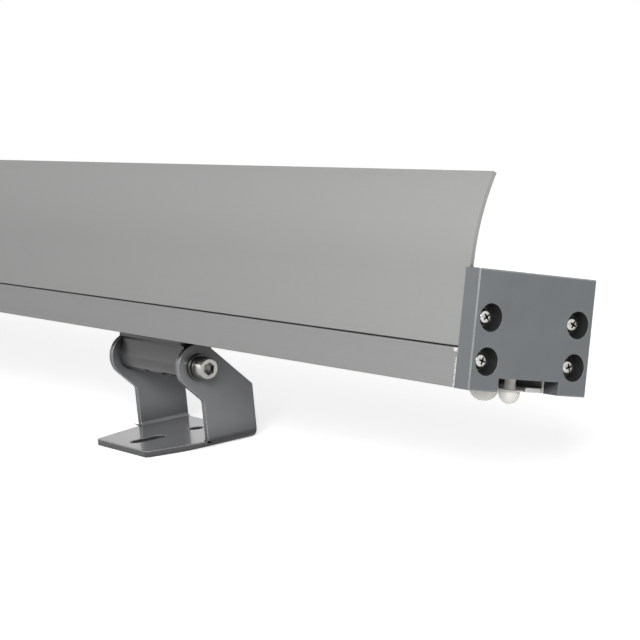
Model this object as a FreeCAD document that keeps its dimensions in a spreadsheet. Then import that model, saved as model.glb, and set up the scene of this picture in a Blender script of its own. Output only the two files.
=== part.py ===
import FreeCAD, Part
import math
import os
import re

import Sketcher

# Outdoor linear wall washer, 1 m long, on two swivel brackets.
#
# Part frame: X along the bar, -Y to the front (the side with the glare shield), +Z up.
# The origin is half way between the two round fixing holes, on the undersides of the feet.
#
# Lamp head, hub and bracket pieces are drawn square, in a frame whose X axis is the pivot
# axis of the swivel brackets, and are then tilted about that axis and lifted to its height.

SIZES = [
    # overall
    ("bar_length", 1000.0),             # over both end caps
    ("head_depth", 56.0),               # front to back of an end cap
    ("head_height", 44.0),              # bottom to top of an end cap
    ("tilt_angle", 13.5),               # the head leans back by this, in degrees
    ("pivot_drop", 12.0),               # pivot axis below the underside of the head
    ("pivot_height", 38.5),             # pivot axis above the surface the feet stand on
    ("bracket_offset", 236.0),          # middle of the bar to the middle of a bracket
    # end caps and gaskets
    ("cap_thickness", 8.3),
    ("cap_chamfer", 0.4),
    ("cap_screw_inset", 7.2),           # screw axis from the side of the cap
    ("cap_screw_low", 10.7),            # lower screw axis above the underside
    ("cap_screw_high", 26.6),           # upper screw axis above the underside
    ("cap_screw_clearance", 0.2),
    ("counterbore_radius", 5.15),
    ("counterbore_depth", 5.5),
    ("gasket_thickness", 0.7),
    ("gasket_margin", 0.8),             # gasket edge to the shield's hooks
    # body extrusion
    ("face_inset", 2.0),                # body faces behind the front and back of the caps
    ("cap_rise", 0.8),                  # caps stand above the top edges of the body
    ("strip_height", 14.6),             # flat front strip below the shield
    ("strip_wall", 1.8),
    ("body_wall", 2.4),
    ("shell_thickness", 5.8),           # outer face to inner face, with hooks or ribs between
    ("trough_wall", 6.4),               # the same above the shelf, under the glass ledges
    ("glass_wall", 3.4),                # the same beside the cover glass
    ("channel_opening", 13.4),
    ("channel_width", 28.8),
    ("channel_height", 5.0),            # underside of the body to the roof of the channel
    ("channel_lip", 1.8),
    ("channel_roof", 2.0),
    ("shelf_height", 26.0),             # underside of the body to the underside of the shelf
    ("shelf_thickness", 2.5),
    ("ledge_rise", 3.0),                # ledges that carry the driver board
    ("ledge_width", 5.4),
    ("port_radius", 1.3),               # bores for the end cap screws
    ("port_block", 3.0),                # metal round such a bore
    ("port_slope", 1.4),
    ("rib_count", 5),
    ("rib_pitch", 7.0),
    ("rib_groove", 3.5),
    ("rib_depth", 1.5),
    ("first_rib", 6.0),                 # underside of the body to the lowest groove
    # glare shield
    ("groove_gap", 0.6),                # dark line between the strip and the shield
    ("shield_thickness", 1.6),
    ("shield_height", 79.4),            # top of the shield above the underside of the head
    ("shield_bend_start", 44.0),        # the shield is flat below this height
    ("shield_radius", 102.0),
    ("hook_thickness", 1.2),
    ("hook_depth", 2.1),                # reach of the hook behind the strip
    ("hook_rise", 3.0),
    ("slide_gap", 0.2),                 # clearance of everything that slides in the body
    ("rail_height", 33.0),
    ("rail_neck", 1.6),
    ("rail_head", 3.6),
    ("rail_neck_depth", 1.6),
    ("rail_head_depth", 0.8),
    # cover glass, light engine and driver
    ("glass_thickness", 3.0),
    ("glass_gap", 0.3),
    ("seal_thickness", 1.0),
    ("seal_width", 2.6),
    ("led_board_side", 3.8),            # side of an LED board to the cap screw axes
    ("led_board_thickness", 1.6),
    ("led_board_gap", 1.0),
    ("led_pitch", 40.0),
    ("led_width", 3.5),
    ("led_base_height", 0.8),
    ("led_emitter_radius", 1.4),
    ("led_emitter_height", 0.7),
    ("lens_bottom_radius", 5.0),
    ("lens_top_radius", 9.0),
    ("lens_height", 7.4),
    ("lens_pocket_radius", 2.8),
    ("lens_pocket_depth", 2.8),
    ("board_screw_radius", 1.45),
    ("board_screw_length", 6.0),
    ("board_screw_head_radius", 2.75),
    ("board_screw_head_height", 1.8),
    ("driver_length", 300.0),
    ("driver_side_gap", 0.6),           # driver board to the walls of its bay
    ("driver_thickness", 1.6),
    ("driver_screw_inset", 6.0),
    ("transformer_length", 26.0),
    ("transformer_width", 20.0),
    ("transformer_height", 11.5),
    ("capacitor_radius", 5.0),
    ("capacitor_length", 18.0),
    ("terminal_length", 16.0),
    ("terminal_width", 9.0),
    ("terminal_height", 9.0),
    ("lead_radius", 0.9),
    ("lead_spacing", 3.0),
    ("lead_bend", 4.0),
    ("lead_reach", 9.0),
    ("lead_hole_radius", 4.0),
    # end cap screws
    ("cap_screw_radius", 1.25),
    ("cap_screw_length", 13.0),
    ("cap_screw_head_radius", 3.0),
    ("cap_screw_head_height", 2.4),
    # plugs in the channel, near the right end
    ("breather_offset", 11.8),          # plug axis from the face of the right end cap
    ("breather_neck_radius", 2.2),
    ("breather_thread_radius", 1.25),
    ("breather_collar_radius", 5.5),
    ("breather_collar_height", 0.8),
    ("breather_dome_radius", 4.0),
    ("breather_dome_depth", 4.8),
    ("entry_offset", 26.6),
    ("entry_neck_radius", 4.0),
    ("entry_thread_radius", 3.0),
    ("entry_dome_radius", 5.9),
    ("entry_dome_depth", 5.3),
    ("plug_nut_height", 2.0),
    ("plug_nut_overhang", 1.75),
    ("plug_setback", 1.0),              # plug axes behind the middle of the channel
    ("plug_gap", 0.05),
    # hub: pivot block and nut in the channel
    ("knuckle_radius", 6.5),
    ("web_thickness", 12.6),
    ("pad_width", 17.0),
    ("pad_thickness", 2.85),
    ("pad_gap", 0.15),                  # pad to the underside of the body
    ("pad_fillet", 1.5),
    ("nut_width", 28.0),
    ("nut_setback", 6.0),               # end of the nut behind the end of the pivot block
    ("nut_thickness", 2.6),
    ("nut_gap", 0.15),                  # nut to the lips of the channel
    ("lock_screw_radius", 2.0),
    ("lock_head_radius", 3.5),
    ("lock_head_height", 4.0),
    ("lock_margin", 7.0),               # end of a pivot bolt to the axis of a lock screw
    ("lock_seat", 0.4),                 # screw head seat below the pivot axis
    ("lock_recess_radius", 3.9),
    ("screw_hole_gap", 0.1),
    # pivot hardware
    ("bolt_radius", 3.0),
    ("bolt_head_radius", 5.0),
    ("bolt_head_height", 6.0),
    ("bolt_reach", 14.0),               # threaded length inside the pivot block
    ("hex_socket_radius", 2.9),
    ("hex_socket_depth", 3.2),
    ("spring_washer_radius", 5.4),
    ("spring_washer_thickness", 1.6),
    ("spring_washer_slit", 1.0),
    ("flat_washer_radius", 6.2),
    ("flat_washer_thickness", 1.6),
    ("friction_washer_radius", 6.8),
    ("friction_washer_thickness", 0.9),
    ("pivot_gap", 0.1),                 # play beside each ear
    ("bolt_gap", 0.05),                 # radial play on the bolts
    # bracket
    ("bracket_width", 66.0),            # over both ears
    ("sheet", 3.0),
    ("bend_radius", 2.0),
    ("ear_radius", 10.8),
    ("ear_front", 1.0),                 # front edge of the upright behind the pivot axis
    ("ear_rear", 28.0),
    ("foot_front", 27.3),               # front edge of the foot before the pivot axis
    ("tongue_front_width", 48.0),
    ("tongue_root_width", 63.6),
    ("tongue_corner", 2.5),
    ("neck_fillet", 2.5),
    ("slot_width", 7.0),
    ("slot_length", 18.0),
    ("slot_middle", 12.5),              # slot centre before the pivot axis
    ("fixing_radius", 3.5),
    ("fixing_offset", 14.0),            # round hole behind the pivot axis
]

# Places worked out from the sizes, in the frame of the pivot axis.
DERIVED = {
    # heights above the pivot axis
    "under": "pivot_drop",
    "strip_top": "under + strip_height",
    "body_top": "under + head_height - cap_rise",
    "shelf_under": "under + shelf_height",
    "shelf_top": "shelf_under + shelf_thickness",
    "roof_under": "under + channel_height",
    "roof_top": "roof_under + channel_roof",
    "ledge_top": "roof_top + ledge_rise",
    "glass_top": "body_top - 0.6*cap_rise",
    "glass_under": "glass_top - glass_thickness",
    "seal_under": "glass_under - seal_thickness",
    "port_low": "under + cap_screw_low",
    "port_high": "under + cap_screw_high",
    "driver_top": "ledge_top + driver_thickness",
    "led_board_top": "shelf_top + led_board_thickness",
    # half widths and depths
    "half_body": "head_depth/2 - face_inset",
    "half_inside": "half_body - shell_thickness",
    "half_trough": "half_body - trough_wall",
    "half_glass_bay": "half_body - glass_wall",
    "half_port": "head_depth/2 - cap_screw_inset",
    "block_inside": "half_port - port_block",
    "led_board_width": "2*(half_port - led_board_side)",
    "board_wall": "led_board_width/2 + slide_gap",
    "ledge_wall": "block_inside - slide_gap",
    "driver_width": "2*(ledge_wall - driver_side_gap)",
    "driver_screw_side": "ledge_wall - board_screw_head_radius - screw_hole_gap",
    "slot_back": "half_body - strip_wall - hook_thickness - 2*slide_gap",
    "shield_back": "half_body - shield_thickness",
    "wall_front": "shield_back - slide_gap",
    "rail_neck_end": "shield_back - rail_neck_depth",
    "rail_end": "rail_neck_end - rail_head_depth",
    "gasket_front": "rail_end - gasket_margin/2",
    # along the bar
    "body_length": "bar_length - 2*cap_thickness - 2*gasket_thickness",
    "shield_length": "bar_length - 2*cap_thickness - 2*slide_gap",
    "led_board_length": "(body_length - led_board_gap)/2 - seal_width",
    "board_middle": "(led_board_gap + led_board_length)/2",
    "led_pairs": "floor(led_board_length/2/led_pitch)",
    "board_screw_reach": "(led_pairs - 1)*led_pitch",
    # hub and bracket
    "pivot_span": "bracket_width - 2*sheet",
    "hub_length": "pivot_span - 2*(friction_washer_thickness + pivot_gap)",
    "nut_length": "hub_length - 2*nut_setback",
    "lock_spacing": "hub_length - 2*(bolt_reach + lock_margin)",
    "tongue_of_pad": "channel_opening/2 - slide_gap",
    "washer_start": "bracket_width/2 + pivot_gap",
    "spring_start": "washer_start + flat_washer_thickness",
    "head_start": "spring_start + spring_washer_thickness",
    "lock_shank": "lock_seat + roof_under - 2*nut_gap",
    "bend_outer": "bend_radius + sheet",
}

ALONG_X = FreeCAD.Rotation(FreeCAD.Vector(0, 1, 0), 90)
UPRIGHT = FreeCAD.Rotation()
FLAT_TO_END = FreeCAD.Rotation(FreeCAD.Vector(0, 0, 1), 30)
LEAN = FreeCAD.Rotation(FreeCAD.Vector(-1, 0, 0), 10)
ENDS = (("right", 1), ("left", -1))

doc = FreeCAD.newDocument("WallWasher")
sheet = doc.addObject("Spreadsheet::Sheet", "sizes")
for row, (alias, value) in enumerate(SIZES, start=1):
    sheet.set("A%d" % row, str(value))
    sheet.setAlias("A%d" % row, alias)
doc.recompute()

ALIASES = {alias for alias, value in SIZES}
NODES = []


def formula(text):
    """Write out a formula of size names as references to the sheet."""
    def reference(match):
        word = match.group(0)
        if word in DERIVED:
            return "(" + formula(DERIVED[word]) + ")"
        if word in ALIASES:
            return "sizes." + word
        return word
    return re.sub(r"[A-Za-z_]+", reference, text)


def number(text):
    """Value of a formula of size names, in millimetres or degrees."""
    result = sheet.evalExpression(formula(text))
    return float(getattr(result, "Value", result))


def bind(item, **formulas):
    """Tie properties of an object to formulas; two underscores stand for a dot."""
    for name, text in formulas.items():
        item.setExpression(name.replace("__", "."), formula(text))
    return item


def place(item, rotation, x="0", y="0", z="0"):
    """Turn an object, and tie its position to formulas."""
    item.Placement = FreeCAD.Placement(FreeCAD.Vector(), rotation)
    return bind(item, Placement__Base__x=x, Placement__Base__y=y, Placement__Base__z=z)


def as_node(item, name):
    """Give a finished sub-part its name and put it on the list to be written."""
    item.Label = name
    NODES.append(item)
    return item


def on_head(item, x="0"):
    """Tilt a piece that was drawn about the pivot axis, and lift it to its place."""
    place(item, LEAN, x, "-fixing_offset", "pivot_height")
    return bind(item, Placement__Rotation__Angle="tilt_angle")


# ---------------------------------------------------------------- primitives and booleans

def cylinder(radius, height, rotation=UPRIGHT, x="0", y="0", z="0"):
    item = bind(doc.addObject("Part::Cylinder", "cylinder"), Radius=radius, Height=height)
    return place(item, rotation, x, y, z)


def cylinder_along_x(radius, length, start, y="0", z="0"):
    return cylinder(radius, length, ALONG_X, start, y, z)


def cone(bottom_radius, top_radius, height, x="0", y="0", z="0"):
    item = doc.addObject("Part::Cone", "cone")
    bind(item, Radius1=bottom_radius, Radius2=top_radius, Height=height)
    return place(item, UPRIGHT, x, y, z)


def hexagon(radius, height, rotation=UPRIGHT, x="0", y="0", z="0"):
    """Six-sided prism; the radius is to its corners."""
    item = bind(doc.addObject("Part::Prism", "hexagon"), Circumradius=radius, Height=height)
    item.Polygon = 6
    return place(item, rotation, x, y, z)


def box(length, width, height, x, y, z):
    """Box with its lowest corner at x, y, z."""
    item = bind(doc.addObject("Part::Box", "box"), Length=length, Width=width, Height=height)
    return place(item, UPRIGHT, x, y, z)


def cut(base, tool):
    item = doc.addObject("Part::Cut", "cut")
    item.Base = base
    item.Tool = tool
    return item


def fuse(*pieces):
    item = doc.addObject("Part::MultiFuse", "fuse")
    item.Shapes = list(pieces)
    return item


def group(pieces):
    """Separate solids in one sub-part."""
    item = doc.addObject("Part::Compound", "group")
    item.Links = list(pieces)
    return item


def ring(outer, inner, length, start):
    """Washer round the X axis, from start outwards."""
    disc = cylinder_along_x(outer, length, start)
    return cut(disc, cylinder_along_x(inner, length, start))


# ---------------------------------------------------------------- sketches and features

def new_body(name):
    return doc.addObject("PartDesign::Body", name)


def new_sketch(body, plane, offset=None):
    """Sketch on an origin plane of the body, moved along its normal by a formula."""
    sketch = body.newObject("Sketcher::SketchObject", "sketch")
    support = [item for item in body.Origin.OriginFeatures if item.Role == plane][0]
    sketch.AttachmentSupport = [(support, "")]
    sketch.MapMode = "FlatFace"
    if offset:
        bind(sketch, AttachmentOffset__Base__z=offset)
    return sketch


def constrain(sketch, kind, geometry, point, text):
    """Hold one coordinate of a point at a formula."""
    value = number(text)
    axis = {"DistanceX": -2, "DistanceY": -1}[kind]
    if abs(value) < 1e-9:
        sketch.addConstraint(Sketcher.Constraint("PointOnObject", geometry, point, axis))
        return
    index = sketch.addConstraint(Sketcher.Constraint(kind, -1, 1, geometry, point, value))
    sketch.setExpression("Constraints[%d]" % index, formula(text))


def outline(sketch, corners):
    """Closed outline through corners (u, v).

    A third entry (radius, side) makes the edge to the next corner an arc of that radius;
    side is 1 where the arc bulges to the right of its chord, and -1 to the left.
    """
    points = [FreeCAD.Vector(number(corner[0]), number(corner[1]), 0) for corner in corners]
    edges = []
    for index, corner in enumerate(corners):
        start = points[index]
        end = points[(index + 1) % len(points)]
        if len(corner) == 2:
            edges.append((sketch.addGeometry(Part.LineSegment(start, end), False), 1, 2))
            continue
        radius = number(corner[2])
        chord = end - start
        across = FreeCAD.Vector(chord.y, -chord.x, 0).normalize() * corner[3]
        sag = radius - math.sqrt(max(radius ** 2 - (chord.Length / 2) ** 2, 0))
        arc = Part.Arc(start, (start + end) / 2 + across * sag, end)
        edge = sketch.addGeometry(arc, False)
        starts_first = sketch.getPoint(edge, 1).distanceToPoint(start) < 1e-6
        edges.append((edge, 1, 2) if starts_first else (edge, 2, 1))
        fixed = sketch.addConstraint(Sketcher.Constraint("Radius", edge, radius))
        sketch.setExpression("Constraints[%d]" % fixed, formula(corner[2]))
    for index, (edge, first, last) in enumerate(edges):
        after, after_first, after_last = edges[(index + 1) % len(edges)]
        link = Sketcher.Constraint("Coincident", edge, last, after, after_first)
        sketch.addConstraint(link)
        constrain(sketch, "DistanceX", edge, first, corners[index][0])
        constrain(sketch, "DistanceY", edge, first, corners[index][1])


def circle(sketch, u, v, radius):
    centre = FreeCAD.Vector(number(u), number(v), 0)
    shape = Part.Circle(centre, FreeCAD.Vector(0, 0, 1), number(radius))
    edge = sketch.addGeometry(shape, False)
    constrain(sketch, "DistanceX", edge, 3, u)
    constrain(sketch, "DistanceY", edge, 3, v)
    fixed = sketch.addConstraint(Sketcher.Constraint("Radius", edge, number(radius)))
    sketch.setExpression("Constraints[%d]" % fixed, formula(radius))


def rectangle(sketch, left, right, bottom, top):
    outline(sketch, [(left, bottom), (right, bottom), (right, top), (left, top)])


def pad(body, sketch, length, middle=True):
    """Extrude a sketch, to both sides of its plane or only along its normal."""
    feature = body.newObject("PartDesign::Pad", "pad")
    feature.Profile = sketch
    feature.SideType = "Symmetric" if middle else "One side"
    return bind(feature, Length=length)


def pocket(body, sketch, length=None, reverse=False):
    """Cut a sketch away, right through both ways or to a depth."""
    feature = body.newObject("PartDesign::Pocket", "pocket")
    feature.Profile = sketch
    if length is None:
        feature.Type = "ThroughAll"
        feature.SideType = "Symmetric"
        return feature
    feature.Reversed = reverse
    return bind(feature, Length=length)


def edges_where(feature, test):
    """Names of the edges of a feature whose shape passes a test."""
    doc.recompute()
    edges = feature.Shape.Edges
    return ["Edge%d" % (index + 1) for index, edge in enumerate(edges) if test(edge)]


def spans(edge, axis):
    """Whether an edge is straight along an axis."""
    if not isinstance(edge.Curve, Part.Line):
        return False
    return abs(getattr(edge.Curve.Direction, axis)) > 0.999


def mirror(text):
    return "-(" + text + ")"


# ---------------------------------------------------------------- body extrusion

def rear_grooves():
    """Corners of the cooling grooves down the rear face, from the top."""
    corners = []
    for index in reversed(range(int(number("rib_count")))):
        low = "under + first_rib + %d*rib_pitch" % index
        high = low + " + rib_groove"
        corners += [("half_body", high), ("half_body - rib_depth", high)]
        corners += [("half_body - rib_depth", low), ("half_body", low)]
    return corners


def channel_corners():
    """T-channel in the underside, from front to back."""
    lip = "under + channel_lip"
    front = [
        (mirror("channel_opening/2"), "under"),
        (mirror("channel_opening/2"), lip),
        (mirror("channel_width/2"), lip),
        (mirror("channel_width/2"), "roof_under"),
    ]
    rear = [(u[2:-1], v) for u, v in reversed(front)]
    return front + rear


def trough_corners():
    """Open trough for the boards, lenses and glass, from back to front."""
    rear = [
        ("half_glass_bay", "body_top"),
        ("half_glass_bay", "seal_under"),
        ("half_trough", "seal_under"),
        ("half_trough", "port_high + port_block + port_slope"),
        ("board_wall", "port_high + port_block"),
        ("board_wall", "shelf_top"),
    ]
    front = [(mirror(u), v) for u, v in reversed(rear)]
    return rear + front


def body_outline():
    """Section of the body, with its channel, trough, grooves and shield hooks."""
    wall = mirror("wall_front")
    neck = "rail_neck/2 + slide_gap"
    head = "rail_head/2 + slide_gap"
    rail = "under + rail_height"
    corners = [(mirror("half_body"), "under")]
    corners += channel_corners()
    corners += [("half_body", "under")]
    corners += list(reversed(rear_grooves()))
    corners += [("half_body", "body_top")]
    corners += trough_corners()
    corners += [
        (wall, "body_top"),
        (wall, rail + " + " + head.replace("rail_head/2", "rail_neck/2")),
        (mirror("rail_neck_end + slide_gap"), rail + " + " + neck),
        (mirror("rail_neck_end + slide_gap"), rail + " + " + head),
        (mirror("rail_end - slide_gap"), rail + " + " + head),
        (mirror("rail_end - slide_gap"), rail + " - (" + head + ")"),
        (mirror("rail_neck_end + slide_gap"), rail + " - (" + head + ")"),
        (mirror("rail_neck_end + slide_gap"), rail + " - (" + neck + ")"),
        (wall, rail + " - (" + neck + ")"),
        (wall, "strip_top + groove_gap + hook_rise + slide_gap"),
        (mirror("slot_back"), "strip_top + groove_gap + hook_rise + slide_gap"),
        (mirror("slot_back"), "strip_top - hook_depth - slide_gap"),
        (mirror("half_body - strip_wall"), "strip_top - hook_depth - slide_gap"),
        (mirror("half_body - strip_wall"), "strip_top"),
        (mirror("half_body"), "strip_top"),
    ]
    return corners


def driver_bay():
    """Closed compartment under the shelf, with ledges for the driver board."""
    rear = [
        ("ledge_wall - ledge_width", "roof_top"),
        ("ledge_wall - ledge_width", "ledge_top"),
        ("ledge_wall", "ledge_top"),
        ("ledge_wall", "port_low + port_block - port_slope"),
        ("ledge_wall + port_slope", "port_low + port_block"),
        ("half_inside", "port_low + port_block"),
        ("half_inside", "port_high - port_block"),
        ("block_inside", "port_high - port_block"),
        ("block_inside", "shelf_under"),
    ]
    front = [(mirror(u), v) for u, v in reversed(rear)]
    return rear + front


def body_extrusion():
    body = new_body("body_extrusion")
    section = new_sketch(body, "YZ_Plane")
    outline(section, body_outline())
    outline(section, driver_bay())
    for side in ("", "-"):
        for height in ("port_low", "port_high"):
            circle(section, side + "half_port", height, "port_radius")
        inner = side + "(channel_width/2 + body_wall)"
        outer = side + "(half_body - body_wall)"
        rectangle(section, inner, outer, "under + body_wall", "port_low - port_block - 1")
    pad(body, section, "body_length")

    screw_holes = new_sketch(body, "XY_Plane", "shelf_top")
    for x in board_screw_places():
        circle(screw_holes, x, "0", "board_screw_radius + screw_hole_gap")
    circle(screw_holes, lead_hole_place(), "0", "lead_hole_radius")
    pocket(body, screw_holes, "shelf_thickness")

    ledge_holes = new_sketch(body, "XY_Plane", "ledge_top")
    for x, y in driver_screw_places():
        circle(ledge_holes, x, y, "board_screw_radius + screw_hole_gap")
    pocket(body, ledge_holes, "board_screw_length - driver_thickness + slide_gap")

    plug_holes = new_sketch(body, "XY_Plane", "roof_top")
    circle(plug_holes, breather_place(), "plug_setback", "breather_thread_radius + plug_gap")
    circle(plug_holes, entry_place(), "plug_setback", "entry_thread_radius + plug_gap")
    pocket(body, plug_holes, "channel_roof")
    on_head(as_node(body, "body_extrusion"))


def board_screw_places():
    """X of the screws along the middle of the LED boards, three to a board."""
    places = []
    for side in ("", "-"):
        for step in (-1, 0, 1):
            places.append("%s(board_middle + %d*board_screw_reach)" % (side, step))
    return places


def lead_hole_place():
    """X of the hole for the leads, half way between two LEDs and off the screws."""
    return "(board_middle - board_screw_reach + led_pitch)"


def driver_screw_places():
    places = []
    for end in ("", "-"):
        for side in ("", "-"):
            x = end + "(driver_length/2 - driver_screw_inset)"
            places.append((x, side + "driver_screw_side"))
    return places


def breather_place():
    return "(bar_length/2 - breather_offset)"


def entry_place():
    return "(bar_length/2 - entry_offset)"


# ---------------------------------------------------------------- glare shield

def glare_shield():
    """Curved visor that slides into the body from the end, on a hook and a T-rail."""
    body = new_body("glare_shield")
    section = new_sketch(body, "YZ_Plane")
    front = mirror("half_body")
    back = mirror("shield_back")
    bend = "under + shield_bend_start"
    turn = "asin((shield_height - shield_bend_start)/shield_radius)"
    inner = "(shield_radius - shield_thickness)"
    rail = "under + rail_height"
    centre = "(shield_radius - (half_body))"
    hook_front = mirror("half_body - strip_wall - slide_gap")
    hook_back = mirror("slot_back + slide_gap")
    foot = "strip_top + groove_gap"
    outline(section, [
        (front, foot),
        (front, bend, "shield_radius", -1),
        (centre + " - shield_radius*cos(" + turn + ")", "under + shield_height"),
        (centre + " - " + inner + "*cos(" + turn + ")", bend + " + " + inner + "*sin(" + turn + ")",
         inner, 1),
        (back, bend),
        (back, rail + " + rail_neck/2"),
        (mirror("rail_neck_end"), rail + " + rail_neck/2"),
        (mirror("rail_neck_end"), rail + " + rail_head/2"),
        (mirror("rail_end"), rail + " + rail_head/2"),
        (mirror("rail_end"), rail + " - rail_head/2"),
        (mirror("rail_neck_end"), rail + " - rail_head/2"),
        (mirror("rail_neck_end"), rail + " - rail_neck/2"),
        (back, rail + " - rail_neck/2"),
        (back, foot + " + hook_rise"),
        (hook_back, foot + " + hook_rise"),
        (hook_back, "strip_top - hook_depth"),
        (hook_front, "strip_top - hook_depth"),
        (hook_front, foot),
    ])
    pad(body, section, "shield_length")
    on_head(as_node(body, "glare_shield"))


# ---------------------------------------------------------------- end caps

def end_cap(side, direction):
    """Cap with four counterbored screw holes; its outer face looks along +X."""
    body = new_body("cap_plate")
    half = "head_depth/2"
    face = new_sketch(body, "YZ_Plane")
    rectangle(face, mirror(half), half, "under", "under + head_height")
    plate = pad(body, face, "cap_thickness", middle=False)
    outer = edges_where(plate, lambda edge: edge.BoundBox.XMin > number("cap_thickness") - 0.01)
    chamfer = body.newObject("PartDesign::Chamfer", "chamfer")
    chamfer.Base = (plate, outer)
    bind(chamfer, Size="cap_chamfer")

    notch = new_sketch(body, "YZ_Plane")
    rectangle(notch, mirror("channel_width/2"), "channel_width/2", "under - 1", "roof_under")
    pocket(body, notch)

    bores = new_sketch(body, "YZ_Plane")
    seats = new_sketch(body, "YZ_Plane", "cap_thickness")
    for across in ("", "-"):
        for height in ("port_low", "port_high"):
            circle(bores, across + "half_port", height, "cap_screw_radius + cap_screw_clearance")
            circle(seats, across + "half_port", height, "counterbore_radius")
    pocket(body, bores)
    pocket(body, seats, "counterbore_depth")
    turn = UPRIGHT if direction > 0 else FreeCAD.Rotation(FreeCAD.Vector(0, 0, 1), 180)
    cap = group([place(body, turn, "%d*(bar_length/2 - cap_thickness)" % direction)])
    on_head(as_node(cap, "end_cap_" + side))


def end_gasket(side, direction):
    """Sheet gasket between the body and its cap, cut clear of the shield's hooks."""
    body = new_body("gasket_sheet")
    face = new_sketch(body, "YZ_Plane")
    low = "strip_top - hook_depth - slide_gap"
    outline(face, [
        (mirror("half_body"), "under"),
        (mirror("channel_width/2"), "under"),
        (mirror("channel_width/2"), "roof_under"),
        ("channel_width/2", "roof_under"),
        ("channel_width/2", "under"),
        ("half_body", "under"),
        ("half_body", "body_top"),
        (mirror("gasket_front"), "body_top"),
        (mirror("gasket_front"), low),
        (mirror("half_body"), low),
    ])
    pad(body, face, "gasket_thickness", middle=False)
    holes = new_sketch(body, "YZ_Plane")
    for across in ("", "-"):
        for height in ("port_low", "port_high"):
            circle(holes, across + "half_port", height, "cap_screw_radius + cap_screw_clearance")
    pocket(body, holes)
    start = "body_length/2" if direction > 0 else "-(body_length/2 + gasket_thickness)"
    gasket = group([place(body, UPRIGHT, start)])
    on_head(as_node(gasket, "end_gasket_" + side))


def pan_screw(head_radius, head_height, radius, length, rotation, x, y, z):
    """Pan head screw: rotation turns its axis from +Z, the way the head points."""
    shank = cylinder(radius, length, z=mirror(length))
    head = cone(head_radius, head_radius + "*0.8", head_height)
    return place(fuse(shank, head), rotation, x, y, z)


def end_cap_screws(side, direction):
    turn = FreeCAD.Rotation(FreeCAD.Vector(0, 1, 0), 90 * direction)
    seat = "%d*(bar_length/2 - counterbore_depth)" % direction
    screws = []
    for across in ("", "-"):
        for height in ("port_low", "port_high"):
            screws.append(pan_screw("cap_screw_head_radius", "cap_screw_head_height",
                                    "cap_screw_radius", "cap_screw_length",
                                    turn, seat, across + "half_port", height))
    on_head(as_node(group(screws), "end_cap_screws_" + side))


# ---------------------------------------------------------------- glass and light engine

def cover_glass():
    half = "half_glass_bay - glass_gap"
    glass = box("body_length - 2*glass_gap", "2*(" + half + ")", "glass_thickness",
                "-(body_length/2 - glass_gap)", mirror(half), "glass_under")
    on_head(as_node(group([glass]), "cover_glass"))


def glass_seal():
    """Ring seal under the edge of the glass."""
    half = "half_glass_bay - glass_gap"
    outer = box("body_length - 2*glass_gap", "2*(" + half + ")", "seal_thickness",
                "-(body_length/2 - glass_gap)", mirror(half), "seal_under")
    inner = box("body_length - 2*(glass_gap + seal_width)", "2*(" + half + " - seal_width)",
                "seal_thickness", "-(body_length/2 - glass_gap - seal_width)",
                mirror(half + " - seal_width"), "seal_under")
    on_head(as_node(cut(outer, inner), "glass_seal"))


def led_boards():
    """Two boards end to end, each with its screw holes."""
    boards = []
    places = board_screw_places()
    for board, start in enumerate(("led_board_gap/2", "-(led_board_gap/2 + led_board_length)")):
        plate = box("led_board_length", "led_board_width", "led_board_thickness",
                    start, "-led_board_width/2", "shelf_top")
        holes = [cylinder("board_screw_radius + screw_hole_gap", "led_board_thickness",
                          x=x, z="shelf_top")
                 for x in places[3 * board:3 * board + 3]]
        if board == 0:
            holes.append(cylinder("lead_hole_radius", "led_board_thickness",
                                  x=lead_hole_place(), z="shelf_top"))
        boards.append(cut(plate, group(holes)))
    on_head(as_node(group(boards), "led_boards"))


def led_places():
    """X of the LEDs, half a pitch off the board screws."""
    count = int(number("led_pairs"))
    places = []
    for side in ("", "-"):
        for step in range(-count, count):
            places.append("%s(board_middle + (%d + 0.5)*led_pitch)" % (side, step))
    return places


def led_chips():
    chips = []
    for x in led_places():
        base = box("led_width", "led_width", "led_base_height",
                   x + " - led_width/2", "-led_width/2", "led_board_top")
        emitter = hexagon("led_emitter_radius", "led_emitter_height",
                          x=x, z="led_board_top + led_base_height")
        chips.append(fuse(base, emitter))
    on_head(as_node(group(chips), "led_chips"))


def lenses():
    """Collimator lenses that stand on the boards, each over its LED."""
    pieces = []
    for x in led_places():
        lens = cone("lens_bottom_radius", "lens_top_radius", "lens_height",
                    x=x, z="led_board_top")
        hollow = hexagon("lens_pocket_radius", "lens_pocket_depth", x=x, z="led_board_top")
        pieces.append(cut(lens, hollow))
    on_head(as_node(group(pieces), "lenses"))


def board_screws():
    """Screws of the LED boards and of the driver board."""
    screws = []
    for x in board_screw_places():
        screws.append(pan_screw("board_screw_head_radius", "board_screw_head_height",
                                "board_screw_radius", "board_screw_length - led_board_thickness",
                                UPRIGHT, x, "0", "led_board_top"))
    for x, y in driver_screw_places():
        screws.append(pan_screw("board_screw_head_radius", "board_screw_head_height",
                                "board_screw_radius", "board_screw_length",
                                UPRIGHT, x, y, "driver_top"))
    on_head(as_node(group(screws), "board_screws"))


def driver_board():
    plate = box("driver_length", "driver_width", "driver_thickness",
                "-driver_length/2", "-driver_width/2", "ledge_top")
    holes = [cylinder("board_screw_radius + screw_hole_gap", "driver_thickness",
                      x=x, y=y, z="ledge_top")
             for x, y in driver_screw_places()]
    on_head(as_node(cut(plate, group(holes)), "driver_board"))


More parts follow.
